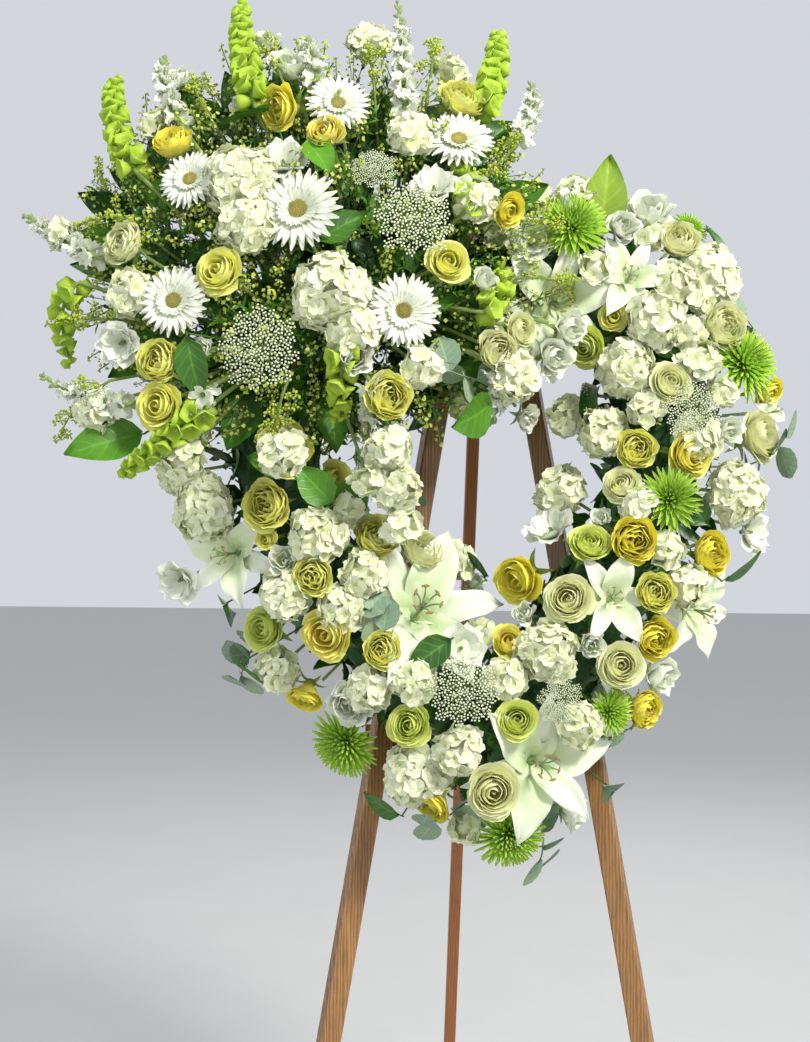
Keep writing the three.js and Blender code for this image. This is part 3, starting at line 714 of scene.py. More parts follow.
def plain_finish(name, colour, other, scale, roughness, metallic=0.0, relief=0.3, distance=0.0006):
    """Foam, moulded plastic or metal: two close colours in a fine pattern, with some relief."""
    f = Finish(name)
    fine = f.noise(f.place(), scale, 3.0, 0.6)
    return f.surface(f.mix(fine, colour, other), roughness + (fine - 0.5) * 0.2,
                     f.bump(fine, relief, distance), Metallic=metallic)


# ---------------------------------------------------------------- things that repeat over a surface

def scatter_tree():
    """Sets copies of one form over a surface, each standing on it, leaned and spun at random."""
    tree = bpy.data.node_groups.new("Set over a surface", "GeometryNodeTree")
    tree.is_modifier = True
    for name, kind in (("Surface", "NodeSocketGeometry"), ("Form", "NodeSocketObject"),
                       ("Spacing", "NodeSocketFloat"),
                       ("Smallest", "NodeSocketFloat"), ("Largest", "NodeSocketFloat"),
                       ("Lean", "NodeSocketFloat"),
                       ("Seed", "NodeSocketInt"), ("Finish", "NodeSocketMaterial")):
        tree.interface.new_socket(name, in_out="INPUT", socket_type=kind)
    tree.interface.new_socket("Surface", in_out="OUTPUT", socket_type="NodeSocketGeometry")
    g = Graph(tree)
    given = g.node("NodeGroupInput")
    points = g.node("GeometryNodeDistributePointsOnFaces", {"distribute_method": "POISSON"},
                    {"Mesh": given, "Distance Min": g.other(given, "Spacing"), "Density Max": 1e5,
                     "Seed": g.other(given, "Seed")})
    lean = g.other(given, "Lean")
    spin = g.node("FunctionNodeRandomValue", {"data_type": "FLOAT_VECTOR"},
                  {0: g.node("ShaderNodeCombineXYZ", None, {0: lean * -1.0, 1: lean * -1.0, 2: 0.0}),
                   1: g.node("ShaderNodeCombineXYZ", None, {0: lean, 1: lean, 2: 2 * math.pi}), "Seed": 3})
    turn = g.node("FunctionNodeRotateRotation", {"rotation_space": "LOCAL"},
                  {"Rotation": g.other(points, "Rotation"),
                   "Rotate By": g.node("FunctionNodeEulerToRotation", None, {0: spin})})
    size = g.node("FunctionNodeRandomValue", {"data_type": "FLOAT"},
                  {2: g.other(given, "Smallest"), 3: g.other(given, "Largest"), "Seed": 5}, out=1)
    form = g.node("GeometryNodeObjectInfo", None, {"Object": g.other(given, "Form")}, out="Geometry")
    copies = g.node("GeometryNodeInstanceOnPoints", None, {"Points": points, "Instance": form,
                                                           "Rotation": turn, "Scale": size})
    tint = g.node("FunctionNodeRandomValue", {"data_type": "FLOAT"}, {2: 0.0, 3: 1.0, "Seed": 7}, out=1)
    tinted = g.node("GeometryNodeStoreNamedAttribute", {"data_type": "FLOAT", "domain": "INSTANCE"},
                    {"Geometry": copies, "Name": "tint", "Value": tint})
    whole = g.node("GeometryNodeRealizeInstances", None, {"Geometry": tinted})
    g.node("NodeGroupOutput", None, {0: g.node("GeometryNodeSetMaterial", None,
                                               {"Geometry": whole, "Material": g.other(given, "Finish")})})
    return tree


def scattered(name, surface, form, spacing, smallest, largest, lean, seed, finish):
    """The plain mesh of a form set over a surface; both are in millimetres."""
    tree = bpy.data.node_groups.get("Set over a surface") or scatter_tree()
    bare = bpy.data.objects.new(name + "_surface", make_mesh(name + "_surface", surface))
    template = bpy.data.objects.new(name + "_form", make_mesh(name + "_form", form, in_row=False,
                                                              with_tint=False))
    for thing in (bare, template):
        bpy.context.scene.collection.objects.link(thing)
    modifier = bare.modifiers.new("Set over a surface", "NODES")
    modifier.node_group = tree
    given = {"Form": template, "Spacing": spacing * 0.001, "Smallest": smallest, "Largest": largest,
             "Lean": lean,
             "Seed": seed, "Finish": bpy.data.materials[finish]}
    for item in tree.interface.items_tree:
        if item.in_out == "INPUT" and item.name in given:
            modifier[item.identifier] = given[item.name]
    bpy.context.view_layer.update()
    graph = bpy.context.evaluated_depsgraph_get()
    mesh = bpy.data.meshes.new_from_object(bare.evaluated_get(graph))
    mesh.name = name
    for thing in (bare, template):
        old = thing.data
        bpy.data.objects.remove(thing)
        bpy.data.meshes.remove(old)
    return finish_mesh(mesh)


def merged(name, meshes):
    """Several meshes as one, with their attributes kept."""
    parts = []
    for mesh in meshes:
        part = bpy.data.objects.new(name, mesh)
        bpy.context.scene.collection.objects.link(part)
        parts.append(part)
    with bpy.context.temp_override(active_object=parts[0], selected_editable_objects=parts,
                                   selected_objects=parts):
        bpy.ops.object.join()
    whole = parts[0].data
    bpy.data.objects.remove(parts[0])
    return whole


def dome(size, flat=0.9, sides=16, rings=6, reach=105, bumps=None):
    """The upper part of a ball, as a surface for florets; reach is in degrees from its top."""
    r = size / 2
    rows = [(r * math.sin(math.radians(reach) * (1 - k / rings) + 1e-3),
             r * flat * math.cos(math.radians(reach) * (1 - k / rings)))
            for k in range(rings + 1)]
    form = turned(rows, sides)
    if bumps is not None:
        a, b = bumps.uniform(0, ROUND, 2)
        azimuth = np.arctan2(form.points[:, 1], form.points[:, 0])
        form.points *= (1 + 0.07 * np.sin(3 * azimuth + a) + 0.05 * np.sin(5 * azimuth + b))[:, None]
    return form


# ---------------------------------------------------------------- the flowers: x, z and size in millimetres

ROSE_STYLES = {
    "garden": {"petals": 34, "opening": 0.45, "ruffle": 0.07, "roll": 22, "heart": 0.1, "fold": 0.06},
    "tea": {"petals": 22, "opening": 0.95, "ruffle": 0.035, "roll": 75, "heart": 0.09},
    "open": {"petals": 20, "opening": 1.0, "ruffle": 0.05, "roll": 50, "heart": 0.12},
    "spiral": {"petals": 28, "opening": 0.7, "ruffle": 0.025, "roll": 60, "heart": 0.07, "fold": 0.02},
    "side": {"petals": 18, "opening": 0.55, "ruffle": 0.06, "roll": 60, "heart": 0.12},
}
NAMED_ROSES = {
    "rose_hole": ("heart", 50, -105, 66, "side", "petals_yellow"),
    "rose_orange": ("heart", 250, 40, 62, "open", "petals_orange"),
    "rose_bottom": ("heart", 15, -355, 68, "spiral", "petals_cream"),
    "rose_upper_left": ("heart", -230, 38, 66, "garden", "petals_lemon"),
    "rose_far_right": ("heart", 352, 78, 72, "tea", "petals_cream"),
    "rose_spray_centre": ("spray", -305, 228, 62, "tea", "petals_lemon"),
    "rose_spray_right": ("spray", -44, 245, 56, "tea", "petals_lemon"),
    "rose_spray_top": ("spray", -238, 432, 60, "side", "petals_yellow"),
    "rose_spray_low": ("spray", -372, 78, 62, "tea", "petals_lemon"),
}
OTHER_ROSES = {
    "petals_lemon": (("heart", -195, -109, 49, "garden"), ("heart", -122, -61, 57, "garden"),
                     ("heart", -114, -195, 46, "garden"), ("heart", -249, -27, 60, "garden"),
                     ("heart", 206, -124, 49, "garden"), ("heart", 186, 47, 50, "garden"),
                     ("spray", -25, 462, 57, "garden"), ("spray", -373, 128, 52, "garden"),
                     ("spray", -112, 88, 57, "garden")),
    "petals_yellow": (("heart", -202, -245, 49, "side"), ("heart", -51, -370, 53, "side"),
                      ("heart", 180, -63, 56, "garden"), ("heart", 208, -176, 53, "garden"),
                      ("heart", 206, -257, 50, "garden"), ("heart", 277, -74, 54, "garden"),
                      ("heart", 366, 136, 45, "side"), ("spray", -364, 391, 51, "garden"),
                      ("spray", 28, 318, 44, "side")),
    "petals_orange": (("heart", -178, -175, 67, "open"), ("heart", 34, -182, 45, "open"),
                      ("spray", -187, 400, 50, "open")),
    "petals_cream": (("heart", -66, -73, 56, "garden"), ("heart", 103, -133, 61, "spiral"),
                     ("heart", 165, -209, 60, "spiral"), ("heart", 169, 4, 50, "spiral"),
                     ("heart", 226, 125, 57, "spiral"), ("heart", 297, 201, 60, "garden"),
                     ("heart", 246, 310, 55, "garden"), ("spray", -416, 268, 53, "garden"),
                     ("spray", 14, 148, 50, "garden"), ("spray", 42, 174, 46, "spiral")),
    "petals_lime": (("heart", -252, -167, 58, "spiral"), ("heart", -81, -280, 55, "spiral"),
                    ("heart", 42, -274, 52, "spiral"), ("heart", 130, -67, 54, "spiral"),
                    ("heart", 131, 178, 55, "spiral")),
}
RUFFLED = (("heart", -125, 20, 54), ("heart", -150, -255, 56), ("heart", -358, -109, 44),
           ("heart", 87, -40, 49), ("heart", 215, 354, 60), ("heart", 345, -40, 44), ("heart", 60, 300, 46),
           ("spray", -150, 130, 44), ("spray", -235, 365, 46), ("spray", -420, 150, 42),
           ("heart", 120, -380, 46), ("heart", -20, -190, 44), ("spray", -60, 340, 42),
           ("heart", 175, 320, 44))
NAMED_LILIES = {"lily_centre": (-65, -140, 165), "lily_bottom": (75, -325, 145), "lily_top": (95, 225, 130),
                "lily_right": (280, -140, 105), "lily_left": (-300, -80, 105),
                "lily_middle": (155, -130, 95)}
OTHER_LILIES = (("heart", 180, 257, 85), ("heart", 375, 112, 54))
NAMED_GERBERAS = {"gerbera_centre": (-215, 300, 109), "gerbera_right": (-95, 185, 92),
                  "gerbera_left": (-355, 195, 90), "gerbera_far_right": (-30, 400, 94),
                  "gerbera_far_left": (-340, 340, 82), "gerbera_top": (-172, 438, 84)}
NAMED_HYDRANGEAS = {
    "hydrangea_spray_left": ("spray", -288, 345, 88), "hydrangea_spray_centre": ("spray", -178, 205, 90),
    "hydrangea_left": ("heart", -330, -25, 78), "hydrangea_lower_left": ("heart", -74, -340, 80),
    "hydrangea_top_right": ("heart", 290, 275, 84), "hydrangea_right": ("heart", 318, 0, 76),
    "hydrangea_hole": ("heart", 102, 8, 62)}
OTHER_HYDRANGEAS = (
    ("heart", -189, -61, 66), ("heart", -227, -130, 56), ("heart", -163, -149, 48), ("heart", 78, -193, 66),
    ("heart", 176, 146, 68), ("heart", 211, 205, 66), ("heart", 148, 74, 58), ("heart", 260, 60, 50),
    ("heart", 249, -115, 48),
    ("heart", 190, -20, 44), ("spray", -276, 286, 66), ("spray", -150, 160, 58), ("spray", -85, 405, 54),
    ("spray", 40, 119, 58),
    ("spray", -10, 330, 50), ("spray", -410, 210, 50), ("heart", -130, -240, 44), ("heart", 120, -280, 50),
    ("heart", 30, -225, 44))
NAMED_MUMS = {"mum_lime_right": (325, 160, 90), "mum_top": (112, 318, 82), "mum_left": (-155, -300, 82),
              "mum_bottom": (40, -408, 80)}
OTHER_MUMS = (("heart", 224, -14, 74, True), ("heart", 155, -263, 58, False),
              ("heart", 272, 345, 46, False))
NAMED_LACE = {"lace_low": ("heart", -20, -240, 90), "lace_spray_right": ("spray", -84, 290, 100),
              "lace_spray_left": ("spray", -256, 137, 100)}
OTHER_LACE = (("heart", 250, 90, 76), ("heart", 92, -251, 60), ("spray", -130, 350, 60))
SPIKES = {
    "snapdragon_top": (-93, 436, -98, 630, 95), "snapdragon_top_left": (-359, 422, -387, 548, 100),
    "snapdragon_left": (-448, 255, -556, 342, 95), "snapdragon_low_left": (-409, 82, -518, 128, 150),
    "snapdragon_right": (47, 419, 70, 524, 100), "bells_top": (-269, 437, -293, 612, 110),
    "bells_left": (-407, 359, -448, 510, 110), "bells_right": (2, 449, 28, 582, 110),
    "bells_low": (-315, 75, -415, 5, 190)}
OTHER_SPIKES = {
    "snapdragon": ((-195, 466, -212, 568, 120), (-318, 95, -322, 44, 190), (-133, 105, -135, 55, 175),
                   (10, 130, 14, 78, 150)),
    "bells": ((-24, 309, -30, 405, 190), (-2, 190, 27, 268, 165), (-470, 228, -490, 152, 120),
              (-164, 140, -168, 74, 195))}
LEAVES = (("spray", -330, 118, 74, 40, 0.35), ("spray", -17, 72, 66, 56, 0.6),
          ("spray", -192, 363, 58, 36, 0.9), ("spray", -280, 419, 66, 36, 0.4),
          ("spray", -166, 279, 62, 38, 0.3), ("heart", -194, -1, 60, 42, 0.75),
          ("heart", -152, -15, 62, 46, 0.7), ("heart", -249, 24, 50, 34, 0.6),
          ("heart", -7, -87, 62, 34, 0.1), ("heart", -292, -140, 60, 44, 0.1),
          ("heart", -60, -200, 60, 36, 0.2), ("heart", 250, -20, 60, 34, 0.2),
          ("heart", 140, 110, 56, 34, 0.15), ("heart", 300, 330, 60, 30, 0.4),
          ("heart", 160, -350, 60, 34, 0.2), ("heart", 330, -80, 60, 34, 0.3),
          ("heart", -260, -215, 60, 34, 0.2), ("heart", -110, -370, 56, 30, 0.3))
EUCALYPTUS = (("heart", 327, 233), ("heart", -8, -389), ("heart", 107, -404), ("heart", 150, -313),
              ("heart", -134, -122), ("heart", -71, -19), ("heart", 365, 30), ("heart", -290, -190),
              ("spray", -60, 120))
PLUMES = ((-10, 350, 40, 420, 120), (60, 300, 110, 350, 110), (20, 380, 60, 470, 100),
          (-60, 500, -55, 575, 90), (-240, 480, -250, 560, 90), (-330, 440, -345, 510, 100),
          (-420, 300, -500, 300, 120), (-430, 180, -510, 200, 110), (-430, 110, -500, 60, 120),
          (-130, 480, -140, 560, 100), (-390, 250, -470, 420, 90), (-230, 90, -250, 30, 180),
          (70, 240, 130, 250, 110))


def stand(where, x, z, lift=0):
    return on_heart(x, z, lift) if where == "heart" else on_spray(x, z, lift)


def seed_of(x, z):
    return np.random.default_rng(abs(int(x * 7919 + z * 104729)) + 17)


def taken():
    """The place and size of every large flower, on the heart and on the spray."""
    spots = {"heart": [], "spray": []}
    rows = [row[:4] for row in NAMED_ROSES.values()]
    rows += [row[:4] for kind in OTHER_ROSES.values() for row in kind]
    rows += [("heart", x, z, 0.8 * size) for x, z, size in NAMED_LILIES.values()]
    rows += [(where, x, z, 0.8 * size) for where, x, z, size in OTHER_LILIES]
    rows += [("spray", *row) for row in NAMED_GERBERAS.values()]
    rows += [("heart", *row) for row in NAMED_MUMS.values()]
    rows += [*NAMED_HYDRANGEAS.values(), *OTHER_HYDRANGEAS, *RUFFLED]
    rows += [row[:4] for row in OTHER_MUMS]
    rows += [*NAMED_LACE.values(), *OTHER_LACE]
    for where, x, z, size in rows:
        spots[where].append((x, z, size))
    return spots


def gaps():
    """Places left between the large flowers, each with a size and a number that picks what fills it."""
    rng = np.random.default_rng(5)
    spots, found = taken(), []
    for smallest, largest, tries in ((44, 54, 1500), (34, 42, 2500), (27, 32, 2500)):
        for _ in range(tries):
            if rng.random() < 0.72:
                x, z = LINE[rng.integers(len(LINE))] + rng.uniform(-134, 134, 2)
                where = "heart"
                if np.hypot(*(LINE - (x, z)).T).min() > 130 or math.hypot(x + 190, z - 250) < 225:
                    continue
            else:
                a, out = rng.uniform(0, 6.283), 320 * math.sqrt(rng.random())
                x, z, where = -190 + out * math.cos(a), 245 + out * math.sin(a), "spray"
            size = rng.uniform(smallest, largest)
            if all(math.hypot(x - a, z - b) > 0.43 * (size + other) for a, b, other in spots[where]):
                spots[where].append((x, z, size))
                found.append((where, x, z, size, rng.random()))
    return found


GAPS = gaps()


# ---------------------------------------------------------------- what a user may change

def tone(label, about, default):
    return FloatVectorProperty(name=label, description=about, subtype="COLOR", default=default, min=0,
                               max=1)


def length(label, about, default, low, high):
    return FloatProperty(name=label, description=about, default=default, min=low, max=high, unit="LENGTH")


def number(label, about, default, low, high):
    return IntProperty(name=label, description=about, default=default, min=low, max=high)


class WREATH_PG_colours(bpy.types.PropertyGroup):
    """The colours of the flowers, the leaves and the easel."""
    white: tone("White", "White petals", (0.93, 0.95, 0.86))
    cream: tone("Cream", "Cream petals and rims", (0.93, 0.94, 0.6))
    lemon: tone("Lemon", "Lemon petals", (0.97, 0.96, 0.26))
    yellow: tone("Yellow", "Yellow petals", (0.96, 0.88, 0.08))
    orange: tone("Orange", "Hearts of the open roses", (0.95, 0.6, 0.02))
    lime: tone("Lime", "Chrysanthemums and lime roses", (0.55, 0.82, 0.03))
    bell: tone("Bell green", "Bells of Ireland", (0.52, 0.66, 0.07))
    leaf: tone("Leaf", "Bright leaves", (0.12, 0.34, 0.015))
    leaf_dark: tone("Dark leaf", "Leaves between the flowers", (0.012, 0.055, 0.012))
    wood: tone("Wood", "Front legs", (0.42, 0.2, 0.06))
    rear_wood: tone("Rear wood", "Rear leg", (0.36, 0.12, 0.02))


class WREATH_PG_sizes(bpy.types.PropertyGroup):
    """The sizes of the small things that fill the wreath."""
    floret: length("Floret spacing", "Distance between hydrangea florets", 0.0102, 0.006, 0.03)
    foliage: length("Foliage spacing", "Distance between the leaves on the foam", 0.019, 0.01, 0.05)
    bells: number("Bells", "Cups on a long spike of bells of Ireland", 44, 10, 90)
    snaps: number("Snapdragon florets", "Florets on a long snapdragon", 34, 10, 70)


def toward(first, second, share):
    return tuple(a + (b - a) * share for a, b in zip(first, second))


def colour(name):
    return tuple(getattr(bpy.context.scene.wreath_colours, name))


# ---------------------------------------------------------------- operators

class WREATH_OT_finishes(bpy.types.Operator):
    """Make the materials of the flowers, the greenery and the easel"""
    bl_idname = "wreath.finishes"
    bl_label = "Finishes"

    def execute(self, context):
        white, cream, lemon, yellow, orange, lime = (colour(n) for n in ("white", "cream", "lemon",
                                                                         "yellow", "orange", "lime"))
        petal_finish("petals_white", toward(white, lime, 0.35), white, white)
        petal_finish("petals_lily", toward(white, lime, 0.55), white, white, veins=0.5)
        petal_finish("petals_daisy", toward(white, lime, 0.3), white, white, pollen=(0.8, 0.66, 0.08))
        petal_finish("petals_cream", toward(lemon, cream, 0.3), cream, toward(cream, white, 0.5),
                     through=0.42)
        petal_finish("petals_lemon", toward(yellow, lemon, 0.35), lemon, toward(cream, lemon, 0.35),
                     spread=0.4, through=0.42)
        petal_finish("petals_yellow", toward(yellow, orange, 0.2), yellow, toward(yellow, lemon, 0.6),
                     spread=0.3)
        petal_finish("petals_orange", orange, yellow, toward(lemon, cream, 0.4))
        petal_finish("petals_lime", toward(lime, yellow, 0.4), toward(lime, lemon, 0.5),
                     toward(lemon, cream, 0.5))
        petal_finish("petals_mum", toward(lime, (0.1, 0.25, 0.02), 0.5), lime, toward(lime, cream, 0.35))
        petal_finish("florets_hydrangea", toward(cream, lime, 0.25), toward(white, cream, 0.5),
                     toward(white, cream, 0.2), veins=0.6)
        petal_finish("lace_dots", toward(white, lime, 0.6), toward(white, cream, 0.5),
                     toward(white, lime, 0.12))
        petal_finish("bell_cups", toward(colour("bell"), lime, 0.3), colour("bell"),
                     toward(colour("bell"), lime, 0.7), pollen=(0.8, 0.82, 0.7), veins=0.7)
        petal_finish("plume_buds", toward(lime, yellow, 0.5), (0.55, 0.66, 0.07), (0.75, 0.82, 0.2),
                     through=0.4)
        leaf_finish("leaves_bright", colour("leaf_dark"), colour("leaf"))
        leaf_finish("leaves_dark", colour("leaf_dark"), toward(colour("leaf_dark"), colour("leaf"), 0.5),
                    0.35, 0.05)
        leaf_finish("leaves_top", colour("leaf"), (0.42, 0.55, 0.07), 0.35, 0.3)
        leaf_finish("leaves_eucalyptus", (0.16, 0.26, 0.17), (0.3, 0.4, 0.26), 0.6, 0.05)
        wood_finish("wood_front", toward(colour("wood"), (0.04, 0.02, 0.008), 0.72), colour("wood"))
        wood_finish("wood_rear", toward(colour("rear_wood"), (0.04, 0.015, 0.01), 0.55),
                    colour("rear_wood"))
        plain_finish("foam_green", (0.03, 0.1, 0.04), (0.07, 0.17, 0.07), 420.0, 0.9, relief=0.7)
        plain_finish("tray_green", (0.01, 0.03, 0.015), (0.016, 0.045, 0.022), 160.0, 0.45)
        plain_finish("steel_plain", (0.45, 0.44, 0.42), (0.6, 0.59, 0.57), 300.0, 0.35, 1.0)
        plain_finish("wire_green", (0.02, 0.07, 0.03), (0.04, 0.1, 0.05), 300.0, 0.4, 0.3)
        return {"FINISHED"}


class WREATH_OT_easel(bpy.types.Operator):
    """Give the easel, the foam, the trays and the fittings their finishes"""
    bl_idname = "wreath.easel"
    bl_label = "Easel and form"

    def execute(self, context):
        for finish, nodes in {
            "wood_front": ("front_leg_left", "front_leg_right", "top_block", "crossbar", "peg_left",
                           "peg_right"),
            "wood_rear": ("rear_leg",), "foam_green": ("heart_foam", "spray_foam"),
            "tray_green": ("heart_tray", "spray_tray"),
            "steel_plain": ("hinge_bracket", "hinge_pin"), "wire_green": ("tie_wire",),
        }.items():
            for node in nodes:
                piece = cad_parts[node]
                piece.data.materials.clear()
                piece.data.materials.append(bpy.data.materials[finish])
        return {"FINISHED"}


def rose_at(where, x, z, size, style):
    rng = seed_of(x, z)
    head, root = stand(where, x, z)
    tip = rng.uniform(-0.25, 0.25, 3) if style != "side" else (rng.uniform(-0.6, 0.6), 0.1, -0.8)
    return stood(rose(size, rng, **ROSE_STYLES[style]), head, root, size, rng.uniform(0, ROUND),
                 rng.uniform(0.2, 0.8), tip)


class WREATH_OT_roses(bpy.types.Operator):
    """Make the garden roses, the spiral roses and the drooping ones"""
    bl_idname = "wreath.roses"
    bl_label = "Roses"

    def execute(self, context):
        for node, (where, x, z, size, style, finish) in NAMED_ROSES.items():
            form = rose_at(where, x, z, size, style)
            make_piece("bloom_" + node, make_mesh(node, form), finish,
                       (node,))
        for finish, places in OTHER_ROSES.items():
            form = joined([rose_at(*place) for place in places])
            make_piece("roses_" + finish[7:], make_mesh(finish, form), finish)
        whites = []
        for k, (where, x, z, size) in enumerate(RUFFLED):
            rng = seed_of(x, z)
            head, root = stand(where, x, z)
            form = bowl(size, rng) if k % 3 != 1 else ruffled(size, rng)
            whites.append(stood(form, head, root, size, rng.uniform(0, ROUND), 0.3,
                                rng.uniform(-0.3, 0.3, 3)))
        make_piece("lisianthus", make_mesh("lisianthus", joined(whites)), "petals_white")
        for name, finish, low, high, make in (
            ("filler_white", "petals_white", 0.5, 0.78, lambda size, rng: ruffled(size, rng, 13)),
            ("filler_lemon", "petals_lemon", 0.78, 0.88, lambda size,
             rng: rose(size, rng, 16, ruffle=0.05)),
        ):
            forms = []
            for where, x, z, size, pick in GAPS:
                if low <= pick < high and (where == "heart" or pick < 0.6):
                    rng = seed_of(x, z)
                    head, root = stand(where, x, z, -8)
                    forms.append(stood(make(size, rng), head, root, size, rng.uniform(0, ROUND),
                                       rng.uniform(0.2, 0.8), rng.uniform(-0.3, 0.3, 3)))
            make_piece(name, make_mesh(name, joined(forms)), finish)
        return {"FINISHED"}


class WREATH_OT_lilies(bpy.types.Operator):
    """Make the white lilies, with their stamens"""
    bl_idname = "wreath.lilies"
    bl_label = "Lilies"

    def execute(self, context):
        for node, (x, z, size) in NAMED_LILIES.items():
            rng = seed_of(x, z)
            head, root = on_heart(x, z)
            make_piece("bloom_" + node, make_mesh(node, stood(lily(size, rng), head, root, size,
                                                              rng.uniform(0, ROUND), 0.5)),
                       "petals_lily", (node,))
        forms = []
        for where, x, z, size in OTHER_LILIES:
            rng = seed_of(x, z)
            head, root = stand(where, x, z)
            forms.append(stood(lily(size, rng), head, root, size, 1.0, 0.5))
        make_piece("lilies_small", make_mesh("lilies_small", joined(forms)), "petals_lily")
        return {"FINISHED"}


class WREATH_OT_daisies(bpy.types.Operator):
    """Make the gerberas and the chrysanthemums"""
    bl_idname = "wreath.daisies"
    bl_label = "Gerberas and chrysanthemums"

    def execute(self, context):
        for node, (x, z, size) in NAMED_GERBERAS.items():
            rng = seed_of(x, z)
            head, root = on_spray(x, z)
            tip = (rng.uniform(-0.2, 0.2), -0.5, rng.uniform(-0.2, 0.2))
            make_piece("bloom_" + node, make_mesh(node, stood(gerbera(size, rng), head, root, size * 0.5,
                                                              0.0, 0.4, tip)),
                       "petals_daisy", (node,))
        for node, (x, z, size) in NAMED_MUMS.items():
            head, root = on_heart(x, z)
            make_piece("bloom_" + node, make_mesh(node, stood(pompon(size, seed_of(x, z)), head, root,
                                                              size * 0.6, 0.0, 0.5)),
                       "petals_mum", (node,))
        forms = []
        for where, x, z, size, dark in OTHER_MUMS:
            head, root = stand(where, x, z)
            forms.append(stood(pompon(size, seed_of(x, z), 110, dark), head, root, size * 0.6, 0.0,
                               0.8 if dark else 0.4))
        make_piece("mums_small", make_mesh("mums_small", joined(forms)), "petals_mum")
        return {"FINISHED"}


def hydrangea_heads(name, places, seed, spacing):
    """Florets over a dome for each place, with a closed core under them and a stem."""
    domes, stems = [], []
    for where, x, z, size in places:
        head, root = stand(where, x, z)
        axis = outlook(head, root, 0.4)
        turn, middle = facing(axis), head - axis * 0.12 * size
        domes.append(dome(size * 0.88, 0.86, bumps=seed_of(x, z)).placed(turn, middle))
        stems.append(stem(head, root, 0.3 * size))
        core = dome(size * 0.76, 0.8, 12, 4)
        core.values[:, 3] = 0
        stems.append(core.placed(turn, middle))
    florets = scattered(name, joined(domes), floret(), spacing, 0.85, 1.15, 0.4, seed, "florets_hydrangea")
    return merged(name, [florets, make_mesh(name + "_stems", joined(stems))])


class WREATH_OT_hydrangeas(bpy.types.Operator):
    """Set florets over the domes of the hydrangeas"""
    bl_idname = "wreath.hydrangeas"
    bl_label = "Hydrangeas"

    def execute(self, context):
        spacing = context.scene.wreath_sizes.floret * 1000
        for index, (node, place) in enumerate(NAMED_HYDRANGEAS.items()):
            heads = hydrangea_heads(node, [place], index, spacing)
            make_piece("bloom_" + node, heads, "florets_hydrangea", (node,))
        fillers = [row[:4] for row in GAPS if row[4] < 0.5 and (row[0] == "heart" or row[4] < 0.15)]
        for name, places, seed in (("hydrangeas_small", OTHER_HYDRANGEAS, 50),
                                   ("filler_florets", fillers, 60)):
            heads = hydrangea_heads(name, places, seed, spacing)
            make_piece(name, heads, "florets_hydrangea")
        return {"FINISHED"}


def lace_at(where, x, z, size):
    head, root = stand(where, x, z, 6)
    return stood(umbel(size, seed_of(x, z)), head, root, size, 0.0, 0.5)


class WREATH_OT_lace(bpy.types.Operator):
    """Make the lace flowers, fine white umbels"""
    bl_idname = "wreath.lace"
    bl_label = "Lace flowers"

    def execute(self, context):
        for node, place in NAMED_LACE.items():
            make_piece("bloom_" + node, make_mesh(node, lace_at(*place)), "lace_dots",
                       (node,))
        small = joined([lace_at(*place) for place in OTHER_LACE])
        make_piece("lace_small", make_mesh("lace_small", small), "lace_dots")
        return {"FINISHED"}


def spike_path(base_x, base_z, tip_x, tip_z, tip_depth):
    base, root = on_spray(base_x, base_z)
    tip = np.array((tip_x, -tip_depth, tip_z), float)
    t = np.linspace(0, 1, 12)[:, None]
    lead = base + (tip - base) * 0.35 + (base - root) * 0.12
    upper = (1 - t) ** 2 * base + 2 * t * (1 - t) * lead + t * t * tip
    return root, upper


def spike_form(kind, place, count, rng):
    """A stalk with florets or cups round it, which open from its foot up."""
    root, path = spike_path(*place)
    length = np.linalg.norm(np.diff(path, axis=0), axis=1).sum()
    share = np.concatenate(((0,), np.cumsum(np.linalg.norm(np.diff(path, axis=0), axis=1)))) / length
    forms = [tube(np.vstack((root + (path[0] - root) * 0.15, path)), np.linspace(2.6, 1.2, len(path) + 1),
                  6, tint=0.9)]
    cups = {"snapdragon": [lipped(26, rng) for _ in range(4)], "bells": [bell()]}[kind]
    bud = turned(((0.8, -4), (3.2, 0), (3.4, 4), (1.2, 9)), 6, kind=1, tint=0.9, layer=0.4)
    for i in range(count):
        t = (i + 0.5) / count
        spot = np.array([np.interp(t, share, path[:, k]) for k in range(3)])
        along = unit(np.array([np.interp(min(1, t + 0.04), share, path[:, k])
                               - np.interp(t - 0.04, share, path[:, k]) for k in range(3)]))
        turn = facing(along, i * GOLDEN)
        if kind == "bells":
            scale = 1.18 - 0.6 * t ** 1.6 + rng.uniform(-0.08, 0.08)
            lean = unit(turn[:, 0] + along * (0.1 + 0.9 * t) + rng.uniform(-0.3, 0.3, 3))
            forms.append(cups[0].placed(facing(lean, i), spot + turn[:, 0], scale,
                                        tint=rng.uniform(0.2, 0.8)))
        elif t < 0.7:
            scale = 1.05 - 0.5 * t
            lean = unit(turn[:, 0] + along * 0.35)
            forms.append(cups[i % 4].placed(facing(lean, i), spot + turn[:, 0] * 8 * scale, scale,
                                            tint=rng.uniform(0.2, 0.6)))
        else:
            lean = unit(turn[:, 0] + along * 1.1)
            forms.append(bud.placed(facing(lean, 0), spot + turn[:, 0] * 3.5 * (1.15 - t) * 2, 1.6 - t))
    if kind == "snapdragon":
        forms.append(bud.placed(facing(unit(path[-1] - path[-2])), path[-1], 0.7))
    return joined(forms)


